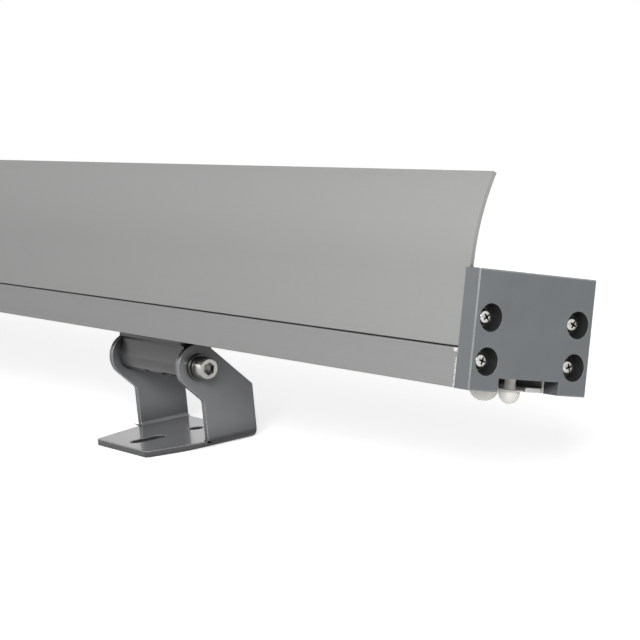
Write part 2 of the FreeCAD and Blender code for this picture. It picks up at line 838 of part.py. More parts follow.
def driver_components():
    """Transformer, smoothing capacitors lying down, and a small choke."""
    transformer = box("transformer_length", "transformer_width", "transformer_height",
                      "-transformer_length/2", "-transformer_width/2", "driver_top")
    pieces = [transformer]
    for step in (-2, 2):
        pieces.append(cylinder_along_x("capacitor_radius", "capacitor_length",
                                       "%d*transformer_length" % step, "0",
                                       "driver_top + capacitor_radius"))
    choke = ring("capacitor_radius", "capacitor_radius/2", "capacitor_radius",
                 "-3.5*transformer_length")
    pieces.append(place(choke, UPRIGHT, "0", "0", "driver_top + capacitor_radius"))
    on_head(as_node(group(pieces), "driver_components"))


def terminal_block():
    start = "driver_length/2 - 2*driver_screw_inset - terminal_length"
    block = box("terminal_length", "terminal_width", "terminal_height",
                start, "-terminal_width/2", "driver_top")
    wells = []
    for step in (1, 3):
        wells.append(cylinder("terminal_width/5", "terminal_height/3",
                              x=start + " + %d*terminal_length/4" % step,
                              z="driver_top + terminal_height*2/3"))
    on_head(as_node(cut(block, group(wells)), "terminal_block"))


def board_leads():
    """Two leads from the driver board up through the shelf and over onto an LED board."""
    leads = []
    for side in (1, -1):
        y = "%d*lead_spacing/2" % side
        top = "led_board_top + lead_radius"
        rise = "(%s - driver_top - lead_bend)" % top
        upright = cylinder("lead_radius", rise, x=lead_hole_place(), y=y, z="driver_top")
        bend = doc.addObject("Part::Torus", "bend")
        bind(bend, Radius1="lead_bend", Radius2="lead_radius", Angle3="90")
        turn = FreeCAD.Rotation(FreeCAD.Vector(1, 0, 0), 90)
        place(bend, turn, lead_hole_place() + " - lead_bend", y, top + " - lead_bend")
        level = cylinder_along_x("lead_radius", "lead_reach",
                                 lead_hole_place() + " - lead_bend - lead_reach", y, top)
        leads.append(fuse(upright, bend, level))
    on_head(as_node(group(leads), "board_leads"))


# ---------------------------------------------------------------- plugs in the channel

def dome_below(radius, depth, x):
    """Segment of a sphere, as wide and deep as asked, hanging from the underside of the body."""
    ball = "((%s^2 + %s^2)/(2*%s))" % (radius, depth, depth)
    dome = bind(doc.addObject("Part::Sphere", "dome"), Radius=ball)
    dome.Angle1 = -90
    bind(dome, Angle2="asin((%s - %s)/%s)" % (depth, ball, ball))
    return place(dome, UPRIGHT, x, "plug_setback", "under - (%s - %s)" % (depth, ball))


def plug_stem(neck_radius, thread_radius, x):
    """Neck up to the roof of the channel, and a thread through it."""
    neck = cylinder(neck_radius, "channel_height", x=x, y="plug_setback", z="under")
    thread = cylinder(thread_radius, "channel_roof + plug_nut_height + slide_gap",
                      x=x, y="plug_setback", z="roof_under")
    return neck, thread


def breather_plug():
    """Domed breather with a thin collar, in the mouth of the channel."""
    x = breather_place()
    dome = dome_below("breather_dome_radius", "breather_dome_depth", x)
    collar = cylinder("breather_collar_radius", "breather_collar_height",
                      x=x, y="plug_setback", z="under")
    stem = plug_stem("breather_neck_radius", "breather_thread_radius", x)
    on_head(as_node(fuse(dome, collar, *stem), "breather_plug"))


def entry_plug():
    """Domed blanking plug of the cable entry."""
    x = entry_place()
    dome = dome_below("entry_dome_radius", "entry_dome_depth", x)
    stem = plug_stem("entry_neck_radius", "entry_thread_radius", x)
    on_head(as_node(fuse(dome, *stem), "entry_plug"))


def plug_nuts():
    """Nuts on the threads of both plugs, on the roof of the channel."""
    nuts = []
    for x, radius in ((breather_place(), "breather_thread_radius"),
                      (entry_place(), "entry_thread_radius")):
        nut = hexagon(radius + " + plug_nut_overhang", "plug_nut_height", FLAT_TO_END,
                      x, "plug_setback", "roof_top")
        bore = cylinder(radius + " + plug_gap", "plug_nut_height",
                        x=x, y="plug_setback", z="roof_top")
        nuts.append(cut(nut, bore))
    on_head(as_node(group(nuts), "plug_nuts"))


# ---------------------------------------------------------------- hub

def pivot_block(side, direction):
    """Knuckle, web and pad; a tongue on the pad runs between the lips of the channel."""
    body = new_body("pivot_block_" + side)
    section = new_sketch(body, "YZ_Plane")
    pad_top = "under - pad_gap"
    pad_under = "under - pad_gap - pad_thickness"
    tongue_top = "under + channel_lip - pad_gap"
    outline(section, [
        (mirror("web_thickness/2"), "0"),
        (mirror("web_thickness/2"), pad_under),
        (mirror("pad_width/2"), pad_under),
        (mirror("pad_width/2"), pad_top),
        (mirror("tongue_of_pad"), pad_top),
        (mirror("tongue_of_pad"), tongue_top),
        ("tongue_of_pad", tongue_top),
        ("tongue_of_pad", pad_top),
        ("pad_width/2", pad_top),
        ("pad_width/2", pad_under),
        ("web_thickness/2", pad_under),
        ("web_thickness/2", "0"),
    ])
    pad(body, section, "hub_length")
    barrel = new_sketch(body, "YZ_Plane")
    circle(barrel, "0", "0", "knuckle_radius")
    whole = pad(body, barrel, "hub_length")
    corners = edges_where(whole, lambda edge: spans(edge, "x") and is_web_corner(edge.BoundBox))
    fillet = body.newObject("PartDesign::Fillet", "fillet")
    fillet.Base = (whole, corners)
    bind(fillet, Radius="pad_fillet")

    for inwards in (False, True):
        end = new_sketch(body, "YZ_Plane", "-hub_length/2" if inwards else "hub_length/2")
        circle(end, "0", "0", "bolt_radius + bolt_gap")
        pocket(body, end, "bolt_reach + 1", reverse=inwards)

    shanks = new_sketch(body, "XY_Plane")
    heads = new_sketch(body, "XY_Plane", mirror("lock_seat"))
    for across in ("", "-"):
        circle(shanks, across + "lock_spacing/2", "0", "lock_screw_radius + screw_hole_gap")
        circle(heads, across + "lock_spacing/2", "0", "lock_recess_radius")
    pocket(body, shanks)
    pocket(body, heads, "knuckle_radius + 1")
    on_head(as_node(body, "pivot_block_" + side), "%d*bracket_offset" % direction)


def is_web_corner(bounds):
    """Whether an edge is the inner corner between web and pad."""
    pad_under = number("under - pad_gap - pad_thickness")
    across = abs(abs(bounds.YMin) - number("web_thickness/2"))
    return across < 0.01 and abs(bounds.ZMin - pad_under) < 0.01


def slider_nut(side, direction):
    low = "under + channel_lip + nut_gap"
    plate = box("nut_length", "nut_width", "nut_thickness",
                "-nut_length/2", "-nut_width/2", low)
    holes = [cylinder("lock_screw_radius + screw_hole_gap", "nut_thickness",
                      x=across + "lock_spacing/2", z=low)
             for across in ("", "-")]
    on_head(as_node(cut(plate, group(holes)), "slider_nut_" + side),
            "%d*bracket_offset" % direction)


def lock_screws(side, direction):
    """Socket screws that pull the nut down onto the lips of the channel."""
    screws = []
    seat = "-lock_seat - lock_head_height"
    for across in ("", "-"):
        x = across + "lock_spacing/2"
        shank = cylinder("lock_screw_radius", "lock_shank", x=x, z="-lock_seat")
        head = cylinder("lock_head_radius", "lock_head_height", x=x, z=seat)
        socket = hexagon("lock_head_radius/2", "lock_head_height/2", x=x, z=seat)
        screws.append(cut(fuse(shank, head), socket))
    on_head(as_node(group(screws), "lock_screws_" + side), "%d*bracket_offset" % direction)


def both_ends(make):
    """The same piece at each end of the pivot axis; make takes the sign of X."""
    return group([make(1), make(-1)])


def turned(item, sign):
    """Turn a piece drawn on the +X side to its own side."""
    half_turn = FreeCAD.Rotation(FreeCAD.Vector(0, 0, 1), 180 if sign < 0 else 0)
    item.Placement = FreeCAD.Placement(FreeCAD.Vector(), half_turn)
    return item


def pivot_bolts(side, direction):
    def bolt(sign):
        head = cylinder_along_x("bolt_head_radius", "bolt_head_height", "head_start")
        shank = cylinder_along_x("bolt_radius", "head_start - hub_length/2 + bolt_reach",
                                 "hub_length/2 - bolt_reach")
        socket = hexagon("hex_socket_radius", "hex_socket_depth", ALONG_X,
                         "head_start + bolt_head_height - hex_socket_depth")
        return turned(cut(fuse(head, shank), socket), sign)
    on_head(as_node(both_ends(bolt), "pivot_bolts_" + side), "%d*bracket_offset" % direction)


def spring_washers(side, direction):
    def washer(sign):
        whole = ring("spring_washer_radius", "bolt_radius + bolt_gap",
                     "spring_washer_thickness", "spring_start")
        slit = box("spring_washer_thickness", "spring_washer_radius", "spring_washer_slit",
                   "spring_start", "0", "-spring_washer_slit/2")
        return turned(cut(whole, slit), sign)
    on_head(as_node(both_ends(washer), "spring_washers_" + side),
            "%d*bracket_offset" % direction)


def flat_washers(side, direction):
    def washer(sign):
        return turned(ring("flat_washer_radius", "bolt_radius + bolt_gap",
                           "flat_washer_thickness", "washer_start"), sign)
    on_head(as_node(both_ends(washer), "flat_washers_" + side),
            "%d*bracket_offset" % direction)


def friction_washers(side, direction):
    def washer(sign):
        return turned(ring("friction_washer_radius", "bolt_radius + bolt_gap",
                           "friction_washer_thickness", "hub_length/2"), sign)
    on_head(as_node(both_ends(washer), "friction_washers_" + side),
            "%d*bracket_offset" % direction)


# ---------------------------------------------------------------- bracket

def side_profile():
    """Side view of ears and foot: (y, z) from the pivot axis and the surface below."""
    diagonal = "ear_radius*cos(45)"
    rear_top = "pivot_height + ear_radius*sqrt(2) - ear_rear"
    front_low = "pivot_height - ear_radius*sqrt(2) - ear_front"
    return [
        (mirror("foot_front"), "-1"),
        ("ear_rear", "-1"),
        ("ear_rear", rear_top),
        (diagonal, "pivot_height + " + diagonal, "ear_radius", 1),
        (mirror(diagonal), "pivot_height + " + diagonal, "ear_radius", 1),
        (mirror(diagonal), "pivot_height - " + diagonal),
        ("ear_front", front_low),
        ("ear_front", "sheet"),
        (mirror("foot_front"), "sheet"),
    ]


def bracket(side, direction):
    """Bent sheet bracket: U-section, then the side view, the foot and the holes cut out."""
    body = new_body("bracket_" + side)
    half = "bracket_width/2"
    top = "pivot_height + ear_radius"
    section = new_sketch(body, "XZ_Plane")
    outline(section, [
        (mirror(half + " - bend_outer"), "0"),
        (half + " - bend_outer", "0", "bend_outer", 1),
        (half, "bend_outer"),
        (half, top),
        (half + " - sheet", top),
        (half + " - sheet", "bend_outer", "bend_radius", -1),
        (half + " - bend_outer", "sheet"),
        (mirror(half + " - bend_outer"), "sheet", "bend_radius", -1),
        (mirror(half + " - sheet"), "bend_outer"),
        (mirror(half + " - sheet"), top),
        (mirror(half), top),
        (mirror(half), "bend_outer", "bend_outer", 1),
    ])
    pad(body, section, "2*(foot_front + ear_rear)")

    around = new_sketch(body, "YZ_Plane")
    outline(around, side_profile())
    clear = "(2*foot_front + 2*ear_rear)"
    rectangle(around, mirror(clear), clear, mirror(clear), clear + " + pivot_height")
    pocket(body, around)

    taper = new_sketch(body, "XY_Plane")
    for across in ("", "-"):
        outline(taper, [
            (across + "tongue_root_width/2", "ear_front"),
            (across + "tongue_front_width/2", "-foot_front"),
            (across + "tongue_front_width/2", "-foot_front - 1"),
            (across + "bracket_width", "-foot_front - 1"),
            (across + "bracket_width", "ear_front"),
        ])
    pocket(body, taper, "bend_outer + sheet", reverse=True)

    reach = "(slot_length - slot_width)/2"
    near = "-slot_middle + " + reach
    far = "-slot_middle - " + reach
    holes = new_sketch(body, "XY_Plane")
    circle(holes, "0", "fixing_offset", "fixing_radius")
    circle(holes, "0", near, "slot_width/2")
    circle(holes, "0", far, "slot_width/2")
    pocket(body, holes)
    slot = new_sketch(body, "XY_Plane")
    rectangle(slot, mirror("slot_width/2"), "slot_width/2", far, near)
    pocket(body, slot)

    eyes = new_sketch(body, "YZ_Plane")
    circle(eyes, "0", "pivot_height", "bolt_radius + bolt_gap")
    last = pocket(body, eyes)

    front = number("-foot_front")
    corners = edges_where(last, lambda edge: spans(edge, "z") and edge.BoundBox.YMax < front + 0.01)
    fillet = body.newObject("PartDesign::Fillet", "fillet")
    fillet.Base = (last, corners)
    bind(fillet, Radius="tongue_corner")
    necks = edges_where(fillet, lambda edge: spans(edge, "x") and is_neck(edge.BoundBox))
    neck = body.newObject("PartDesign::Fillet", "fillet")
    neck.Base = (fillet, necks)
    bind(neck, Radius="neck_fillet")
    place(body, UPRIGHT, "%d*bracket_offset" % direction, "-fixing_offset", "0")
    as_node(body, "bracket_" + side)


def is_neck(bounds):
    """Whether an edge is the corner below the round of an ear, on its front edge."""
    across = abs(bounds.YMin - number("ear_front"))
    return across < 0.01 and bounds.ZMin > number("bend_outer")


# ---------------------------------------------------------------- assembly

body_extrusion()
glare_shield()
cover_glass()
glass_seal()
led_boards()
led_chips()
lenses()
board_screws()
driver_board()
driver_components()
terminal_block()
board_leads()
breather_plug()
entry_plug()
plug_nuts()
for end_name, end_direction in ENDS:
    end_cap(end_name, end_direction)
    end_gasket(end_name, end_direction)
    end_cap_screws(end_name, end_direction)
    pivot_block(end_name, end_direction)
    slider_nut(end_name, end_direction)
    lock_screws(end_name, end_direction)
    pivot_bolts(end_name, end_direction)
    spring_washers(end_name, end_direction)
    flat_washers(end_name, end_direction)
    friction_washers(end_name, end_direction)
    bracket(end_name, end_direction)
doc.recompute()

failed = [item.Label for item in doc.Objects
          if "Invalid" in item.State or "Error" in item.State]
if failed:
    raise RuntimeError("objects failed: " + ", ".join(failed))
for node in NODES:
    if node.Shape.isNull() or not node.Shape.isValid():
        raise RuntimeError("bad shape: " + node.Label)

os.makedirs("parts", exist_ok=True)
for node in NODES:
    node.Shape.exportStep("parts/" + node.Label + ".step")
    bounds = node.Shape.BoundBox
    print("%-24s %3d solids %9.0f mm3  x %.1f..%.1f  y %.1f..%.1f  z %.1f..%.1f" % (
        node.Label, len(node.Shape.Solids), node.Shape.Volume, bounds.XMin, bounds.XMax,
        bounds.YMin, bounds.YMax, bounds.ZMin, bounds.ZMax))
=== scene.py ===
"""Looks of a bar-shaped outdoor wall washer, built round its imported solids.

Sizes are in millimetres and degrees unless a name says otherwise. Pieces of the lamp
head and its hubs are made in the head's own frame: X along the bar, Y to the rear and
Z up, from the pivot axis, and are then leant back with the head.
"""

import logging
import math
from dataclasses import dataclass, field
from enum import Enum
from typing import ClassVar, Iterable, Optional, Sequence, Union

import bmesh
import bpy
from mathutils import Euler, Matrix, Vector


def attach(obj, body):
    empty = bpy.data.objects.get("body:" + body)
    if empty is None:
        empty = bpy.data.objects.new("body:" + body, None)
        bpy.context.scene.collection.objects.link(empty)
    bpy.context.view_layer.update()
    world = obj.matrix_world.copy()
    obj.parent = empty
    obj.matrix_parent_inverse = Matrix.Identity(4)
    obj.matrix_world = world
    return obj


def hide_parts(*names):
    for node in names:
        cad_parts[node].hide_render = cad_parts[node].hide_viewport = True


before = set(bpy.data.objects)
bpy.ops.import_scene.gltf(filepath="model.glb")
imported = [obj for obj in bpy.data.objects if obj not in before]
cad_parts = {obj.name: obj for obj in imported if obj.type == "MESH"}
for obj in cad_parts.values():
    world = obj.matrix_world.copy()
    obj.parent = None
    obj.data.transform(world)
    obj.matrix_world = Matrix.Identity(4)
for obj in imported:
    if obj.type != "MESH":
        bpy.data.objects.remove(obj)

LOG = logging.getLogger("wall_washer")
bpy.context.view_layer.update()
MM = 0.001

# Places in the head's frame that more than one sub-assembly follows.
STRIP_FRONT = -26.0
STRIP_TOP = 26.6
DRIVER_BOARD_TOP = 23.6
LED_BOARD_TOP = 42.1

Colour = tuple[float, float, float]
Point = tuple[float, float, float]
Ring = tuple["Outline", float, float]
Section = list[tuple[float, float]]
Profile = tuple[tuple[float, float], ...]
Value = Union[bpy.types.NodeSocket, float]
Settings = dict[Union[str, int], Union[float, tuple[float, ...]]]


class Body(Enum):
    """Rigid bodies that a made piece rides on."""

    HEAD = "lamp_head"
    RIGHT_HUB = "right_hub"
    LEFT_HUB = "left_hub"


class Side(Enum):
    """End of the bar, with the sign of its X."""

    RIGHT = 1
    LEFT = -1

    @property
    def word(self) -> str:
        """Name of the side, as the node names end."""
        return self.name.lower()

    @property
    def hub(self) -> Body:
        """Body of the hub on this side."""
        return Body.RIGHT_HUB if self is Side.RIGHT else Body.LEFT_HUB

    @property
    def out(self) -> Matrix:
        """Turn that lays a piece's own Z outwards, along the bar."""
        return ALONG_X if self is Side.RIGHT else AGAINST_X


CROSS_HALF_ARM = 0.24
KNURL_ROOT = 0.968
WAVE_DEPTH = 0.05


class Outline(Enum):
    """Shape of one ring of a turned piece."""

    ROUND = "round"
    HEXAGON = "hexagon"
    CROSS = "cross"
    KNURL = "knurl"
    WAVY = "wavy"

    def reach(self, radius: float, step: int, steps: int) -> float:
        """Distance of one point of the ring from the axis.

        Args:
            radius: Nominal radius of the ring.
            step: Number of the point round the ring.
            steps: Points in the ring.

        Returns:
            The distance.
        """
        angle = 2 * math.pi * step / steps
        if self is Outline.HEXAGON:
            from_middle = (angle % (math.pi / 3)) - math.pi / 6
            return radius * math.cos(math.pi / 6) / math.cos(from_middle)
        if self is Outline.CROSS:
            from_arm = abs((angle + math.pi / 4) % (math.pi / 2) - math.pi / 4)
            half_arm = CROSS_HALF_ARM * radius
            return min(radius, half_arm / max(math.sin(from_arm), 1e-6))
        if self is Outline.KNURL:
            return radius * (KNURL_ROOT if step % 2 else 1.0)
        if self is Outline.WAVY:
            return radius * (1 - WAVE_DEPTH * abs(math.sin(2.5 * angle + 0.4)))
        return radius

    def lift(self, step: int, steps: int) -> float:
        """How far one point of the ring stands above its level, in millimetres.

        Args:
            step: Number of the point round the ring.
            steps: Points in the ring.

        Returns:
            The lift; only a wavy ring has one.
        """
        angle = 2 * math.pi * step / steps
        if self is Outline.WAVY:
            return 0.14 * math.sin(3 * angle + 0.7) + 0.1 * math.sin(5 * angle)
        return 0.0


@dataclass(frozen=True)
class HeadPlace:
    """Where the leaning lamp head stands in the part's frame."""

    pivot_y: float = -14.0
    pivot_height: float = 38.5
    lean: float = 13.5
    hub_x: float = 236.0

    def at(self, x: float = 0.0, y: float = 0.0, z: float = 0.0) -> Matrix:
        """Matrix of a point in the head's frame.

        Args:
            x: Along the bar.
            y: To the rear of the pivot axis.
            z: Above the pivot axis.

        Returns:
            The matrix from a piece's own millimetres to the part's metres.
        """
        pivot = Matrix.Translation((0.0, self.pivot_y, self.pivot_height))
        turn = Matrix.Rotation(-math.radians(self.lean), 4, "X")
        scale = Matrix.Scale(MM, 4)
        return scale @ pivot @ turn @ Matrix.Translation((x, y, z))

    def level(self, z: float) -> float:
        """How far a height on the head is from the part's origin, square to the lean.

        Args:
            z: Above the pivot axis, on the head.

        Returns:
            The distance in metres.
        """
        lean = math.radians(self.lean)
        pivot = self.pivot_y * math.sin(lean) + self.pivot_height * math.cos(lean)
        return (pivot + z) * MM


HEAD = HeadPlace()
ALONG_X = Matrix.Rotation(math.pi / 2, 4, "Y")
AGAINST_X = Matrix.Rotation(-math.pi / 2, 4, "Y")
UPSIDE_DOWN = Matrix.Rotation(math.pi, 4, "X")


# ------------------------------------------------------------------ node trees


def set_inputs(node: bpy.types.Node, values: Settings) -> None:
    """Give a node's inputs their values.

    Args:
        node: The node.
        values: Numbers or colours, by the socket's name or number.
    """
    for socket, value in values.items():
        node.inputs[socket].default_value = value


class Wiring:
    """Adds and links the nodes of one tree."""

    def __init__(self, tree: bpy.types.NodeTree) -> None:
        """Start on an empty tree.

        Args:
            tree: Tree of a material, a world or a group.
        """
        self.tree = tree

    def add(self, kind: str, label: str = "", values: Optional[Settings] = None,
            **settings: object) -> bpy.types.Node:
        """Add a node.

        Args:
            kind: Blender's name of the node type, without its prefix.
            label: Words for the node's header.
            values: Numbers or colours of its inputs.
            settings: Properties of the node.

        Returns:
            The node.
        """
        prefix = "" if kind.startswith("NodeGroup") else "ShaderNode"
        node = self.tree.nodes.new(prefix + kind)
        node.label = label
        for name, value in settings.items():
            setattr(node, name, value)
        set_inputs(node, values or {})
        return node

    def join(self, *ends: bpy.types.NodeSocket) -> None:
        """Link sockets in pairs: from, to, from, to.

        Args:
            ends: Output and input sockets, by turns.
        """
        for source, target in zip(ends[::2], ends[1::2]):
            self.tree.links.new(source, target)

    def feed(self, value: Union[Value, tuple[float, ...]],
             socket: bpy.types.NodeSocket) -> None:
        """Link a socket to an input, or set the input where it gets a plain value.

        Args:
            value: Socket, number or colour.
            socket: The input.
        """
        if isinstance(value, bpy.types.NodeSocket):
            self.join(value, socket)
        else:
            socket.default_value = value

    def maths(self, operation: str, first: Value, second: Value) -> bpy.types.NodeSocket:
        """Work out one value from two.

        Args:
            operation: Blender's name of the operation.
            first: Socket or number.
            second: Socket or number.

        Returns:
            The socket with the result.
        """
        node = self.add("Math", operation=operation)
        self.feed(first, node.inputs[0])
        self.feed(second, node.inputs[1])
        return node.outputs[0]

    def mixed(self, share: bpy.types.NodeSocket, first: Union[bpy.types.NodeSocket, Colour],
              second: Colour) -> bpy.types.NodeSocket:
        """Mix two colours.

        Args:
            share: Socket with the share of the second.
            first: Socket or colour.
            second: Colour.

        Returns:
            The socket with the mixed colour.
        """
        node = self.add("Mix", data_type="RGBA")
        self.join(share, node.inputs["Factor"])
        for number, colour in ((6, first), (7, second)):
            whole = (*colour, 1.0) if isinstance(colour, tuple) else colour
            self.feed(whole, node.inputs[number])
        return node.outputs[2]

    def spread(self, value: bpy.types.NodeSocket, low: float, high: float,
               start: float = 0.0, end: float = 1.0) -> bpy.types.NodeSocket:
        """Stretch a value from one range to another.

        Args:
            value: Socket with the value.
            low: Result at start.
            high: Result at end.
            start: Value that gives low.
            end: Value that gives high.

        Returns:
            The socket with the result.
        """
        node = self.add("MapRange", values={"From Min": start, "From Max": end,
                                            "To Min": low, "To Max": high})
        self.join(value, node.inputs["Value"])
        return node.outputs["Result"]


class GroupWiring(Wiring):
    """Wiring of a new node group, with its two ends in place."""

    def __init__(self, name: str, inputs: dict[str, float], outputs: Sequence[str]) -> None:
        """Start the group.

        Args:
            name: Name of the group.
            inputs: Each input with its usual value.
            outputs: Names of the outputs.
        """
        super().__init__(bpy.data.node_groups.new(name, "ShaderNodeTree"))
        ways = [(label, "INPUT") for label in inputs]
        ways += [(label, "OUTPUT") for label in outputs]
        for label, way in ways:
            socket = self.tree.interface.new_socket(label, in_out=way,
                                                    socket_type="NodeSocketFloat")
            socket.default_value = inputs.get(label, 0.0)
        self.given = self.add("NodeGroupInput").outputs
        self.result = self.add("NodeGroupOutput").inputs


class Effect(Enum):
    """Surface effects that several finishes share."""

    DIE_LINES = "Die lines"
    ORANGE_PEEL = "Orange peel"
    TURNING = "Turning marks"
    MOULDED = "Moulded skin"


class EffectShop:
    """Builds each shared effect once, as a node group."""

    STRETCHES = {
        Effect.DIE_LINES: ((0.004, 1.0, 1.0), 4.0),
        Effect.ORANGE_PEEL: ((1.0, 1.0, 1.0), 1.5),
        Effect.TURNING: ((1.0, 0.05, 0.05), 2.0),
        Effect.MOULDED: ((1.0, 1.0, 1.0), 3.0),
    }
    NOISE_SPAN = (0.3, 0.7)
    BROAD_SHARE = 0.06
    SHUT_AWAY = 0.45
    BURR_BELOW = 0.9 * MM
    BURR_FADE = (0.7 * MM, 1.1 * MM)
    BURR_GAIN = 5.0
    RAGGEDNESS = 1.6

    def __init__(self) -> None:
        """Build the groups."""
        self.groups = {effect: self._stretched(effect, *sizes)
                       for effect, sizes in self.STRETCHES.items()}
        self.dust = self._dust()
        self.painted_shade = self._painted_shade()
        self.sawn = self._sawn_ends()

    def _stretched(self, effect: Effect, stretch: Point, detail: float) -> bpy.types.NodeTree:
        """Build a fine noise, stretched along the axes, over a broad one.

        Args:
            effect: The effect, which names the group.
            stretch: Scale of the noise along X, Y and Z.
            detail: Levels of the fine noise.

        Returns:
            The group, with Tone and Height.
        """
        wires = GroupWiring(effect.value, {"Scale": 600.0, "Broad": 0.35, "Depth": 1.0},
                            ("Tone", "Height"))
        place = wires.add("TexCoord")
        stretched = wires.add("VectorMath", operation="MULTIPLY", values={1: stretch})
        fine = wires.add("TexNoise", "fine", {"Detail": detail, "Roughness": 0.6})
        broad = wires.add("TexNoise", "broad", {"Detail": 2.0})
        wires.join(place.outputs["Object"], stretched.inputs[0],
                   stretched.outputs[0], fine.inputs["Vector"],
                   wires.given["Scale"], fine.inputs["Scale"],
                   stretched.outputs[0], broad.inputs["Vector"],
                   wires.maths("MULTIPLY", wires.given["Scale"], self.BROAD_SHARE),
                   broad.inputs["Scale"])
        fine_tone = wires.spread(fine.outputs["Fac"], 0.0, 1.0, *self.NOISE_SPAN)
        broad_tone = wires.spread(broad.outputs["Fac"], 0.0, 1.0, *self.NOISE_SPAN)
        blend = wires.add("Mix", data_type="FLOAT")
        wires.join(wires.given["Broad"], blend.inputs["Factor"],
                   fine_tone, blend.inputs[2], broad_tone, blend.inputs[3],
                   blend.outputs[0], wires.result["Tone"],
                   wires.maths("MULTIPLY", fine_tone, wires.given["Depth"]),
                   wires.result["Height"])
        return wires.tree

    @staticmethod
    def _dust() -> bpy.types.NodeTree:
        """Build the dust that settles on faces that look up.

        Returns:
            The group, with Mask.
        """
        wires = GroupWiring("Settled dust", {"Amount": 0.1}, ("Mask",))
        surface = wires.add("NewGeometry")
        split = wires.add("SeparateXYZ")
        place = wires.add("TexCoord")
        patches = wires.add("TexNoise", "patches", {"Scale": 35.0, "Detail": 6.0})
        wires.join(surface.outputs["Normal"], split.inputs[0],
                   place.outputs["Object"], patches.inputs["Vector"])
        upward = wires.spread(split.outputs["Z"], 0.0, 1.0, 0.3, 1.0)
        patchy = wires.spread(patches.outputs["Fac"], 0.3, 1.0, 0.35, 0.65)
        wires.join(wires.maths("MULTIPLY", wires.maths("MULTIPLY", upward, patchy),
                               wires.given["Amount"]), wires.result["Mask"])
        return wires.tree

    def _painted_shade(self) -> bpy.types.NodeTree:
        """Build the painted shade that darkens bores, sockets and joints, by ambient
        occlusion.

        Returns:
            The group, with Mask.
        """
        wires = GroupWiring("Painted shade in recesses",
                            {"Reach": 3 * MM, "Amount": 0.5, "Clean": 0.85}, ("Mask",))
        open_sky = wires.add("AmbientOcclusion", samples=8)
        wires.join(wires.given["Reach"], open_sky.inputs["Distance"])
        closed = wires.maths("SUBTRACT", wires.given["Clean"], open_sky.outputs["AO"])
        full = wires.spread(closed, 0.0, 1.0, 0.0, self.SHUT_AWAY)
        wires.join(wires.maths("MULTIPLY", full, wires.given["Amount"]),
                   wires.result["Mask"])
        return wires.tree

    def _sawn_ends(self) -> bpy.types.NodeTree:
        """Build the bright, ragged burr that a saw leaves on both ends of a profile.

        It reaches further along the top edge of the front strip.

        Returns:
            The group, with Mask.
        """
        wires = GroupWiring("Sawn ends", {"End": 0.491, "Width": 1.5 * MM}, ("Mask",))
        place = wires.add("TexCoord")
        split = wires.add("SeparateXYZ")
        ragged = wires.add("TexNoise", "ragged edge", {"Scale": 420.0, "Detail": 3.0})
        lean = math.radians(HEAD.lean)
        height = wires.add("VectorMath", "height on the head", operation="DOT_PRODUCT",
                           values={1: (0.0, math.sin(lean), math.cos(lean))})
        for socket in (split.inputs[0], ragged.inputs["Vector"], height.inputs[0]):
            wires.join(place.outputs["Object"], socket)
        inside = wires.maths("SUBTRACT", wires.given["End"],
                             wires.maths("ABSOLUTE", split.outputs["X"], 0.0))
        strip_edge = wires.maths("SUBTRACT", height.outputs["Value"],
                                 HEAD.level(STRIP_TOP) - self.BURR_BELOW)
        edge = wires.spread(wires.maths("ABSOLUTE", strip_edge, 0.0), self.BURR_GAIN, 0.0,
                            *self.BURR_FADE)
        width = wires.maths("MULTIPLY", wires.given["Width"],
                            wires.maths("ADD", edge, 1.0))
        level = wires.maths("ADD", wires.maths("DIVIDE", inside, width),
                            wires.maths("MULTIPLY", ragged.outputs["Fac"],
                                        self.RAGGEDNESS))
        wires.join(wires.spread(level, 1.0, 0.0, 1.0, 1.3), wires.result["Mask"])
        return wires.tree


# ------------------------------------------------------------------ finishes


DUST_COLOUR = (0.55, 0.54, 0.52)
BURR_COLOUR = (0.72, 0.72, 0.7)
# Painted shade: near black, mixed in where ambient occlusion finds a recess, corner or joint.
PAINTED_SHADE_COLOUR = (0.012, 0.012, 0.012)
SUBSURFACE_REACH = 2 * MM


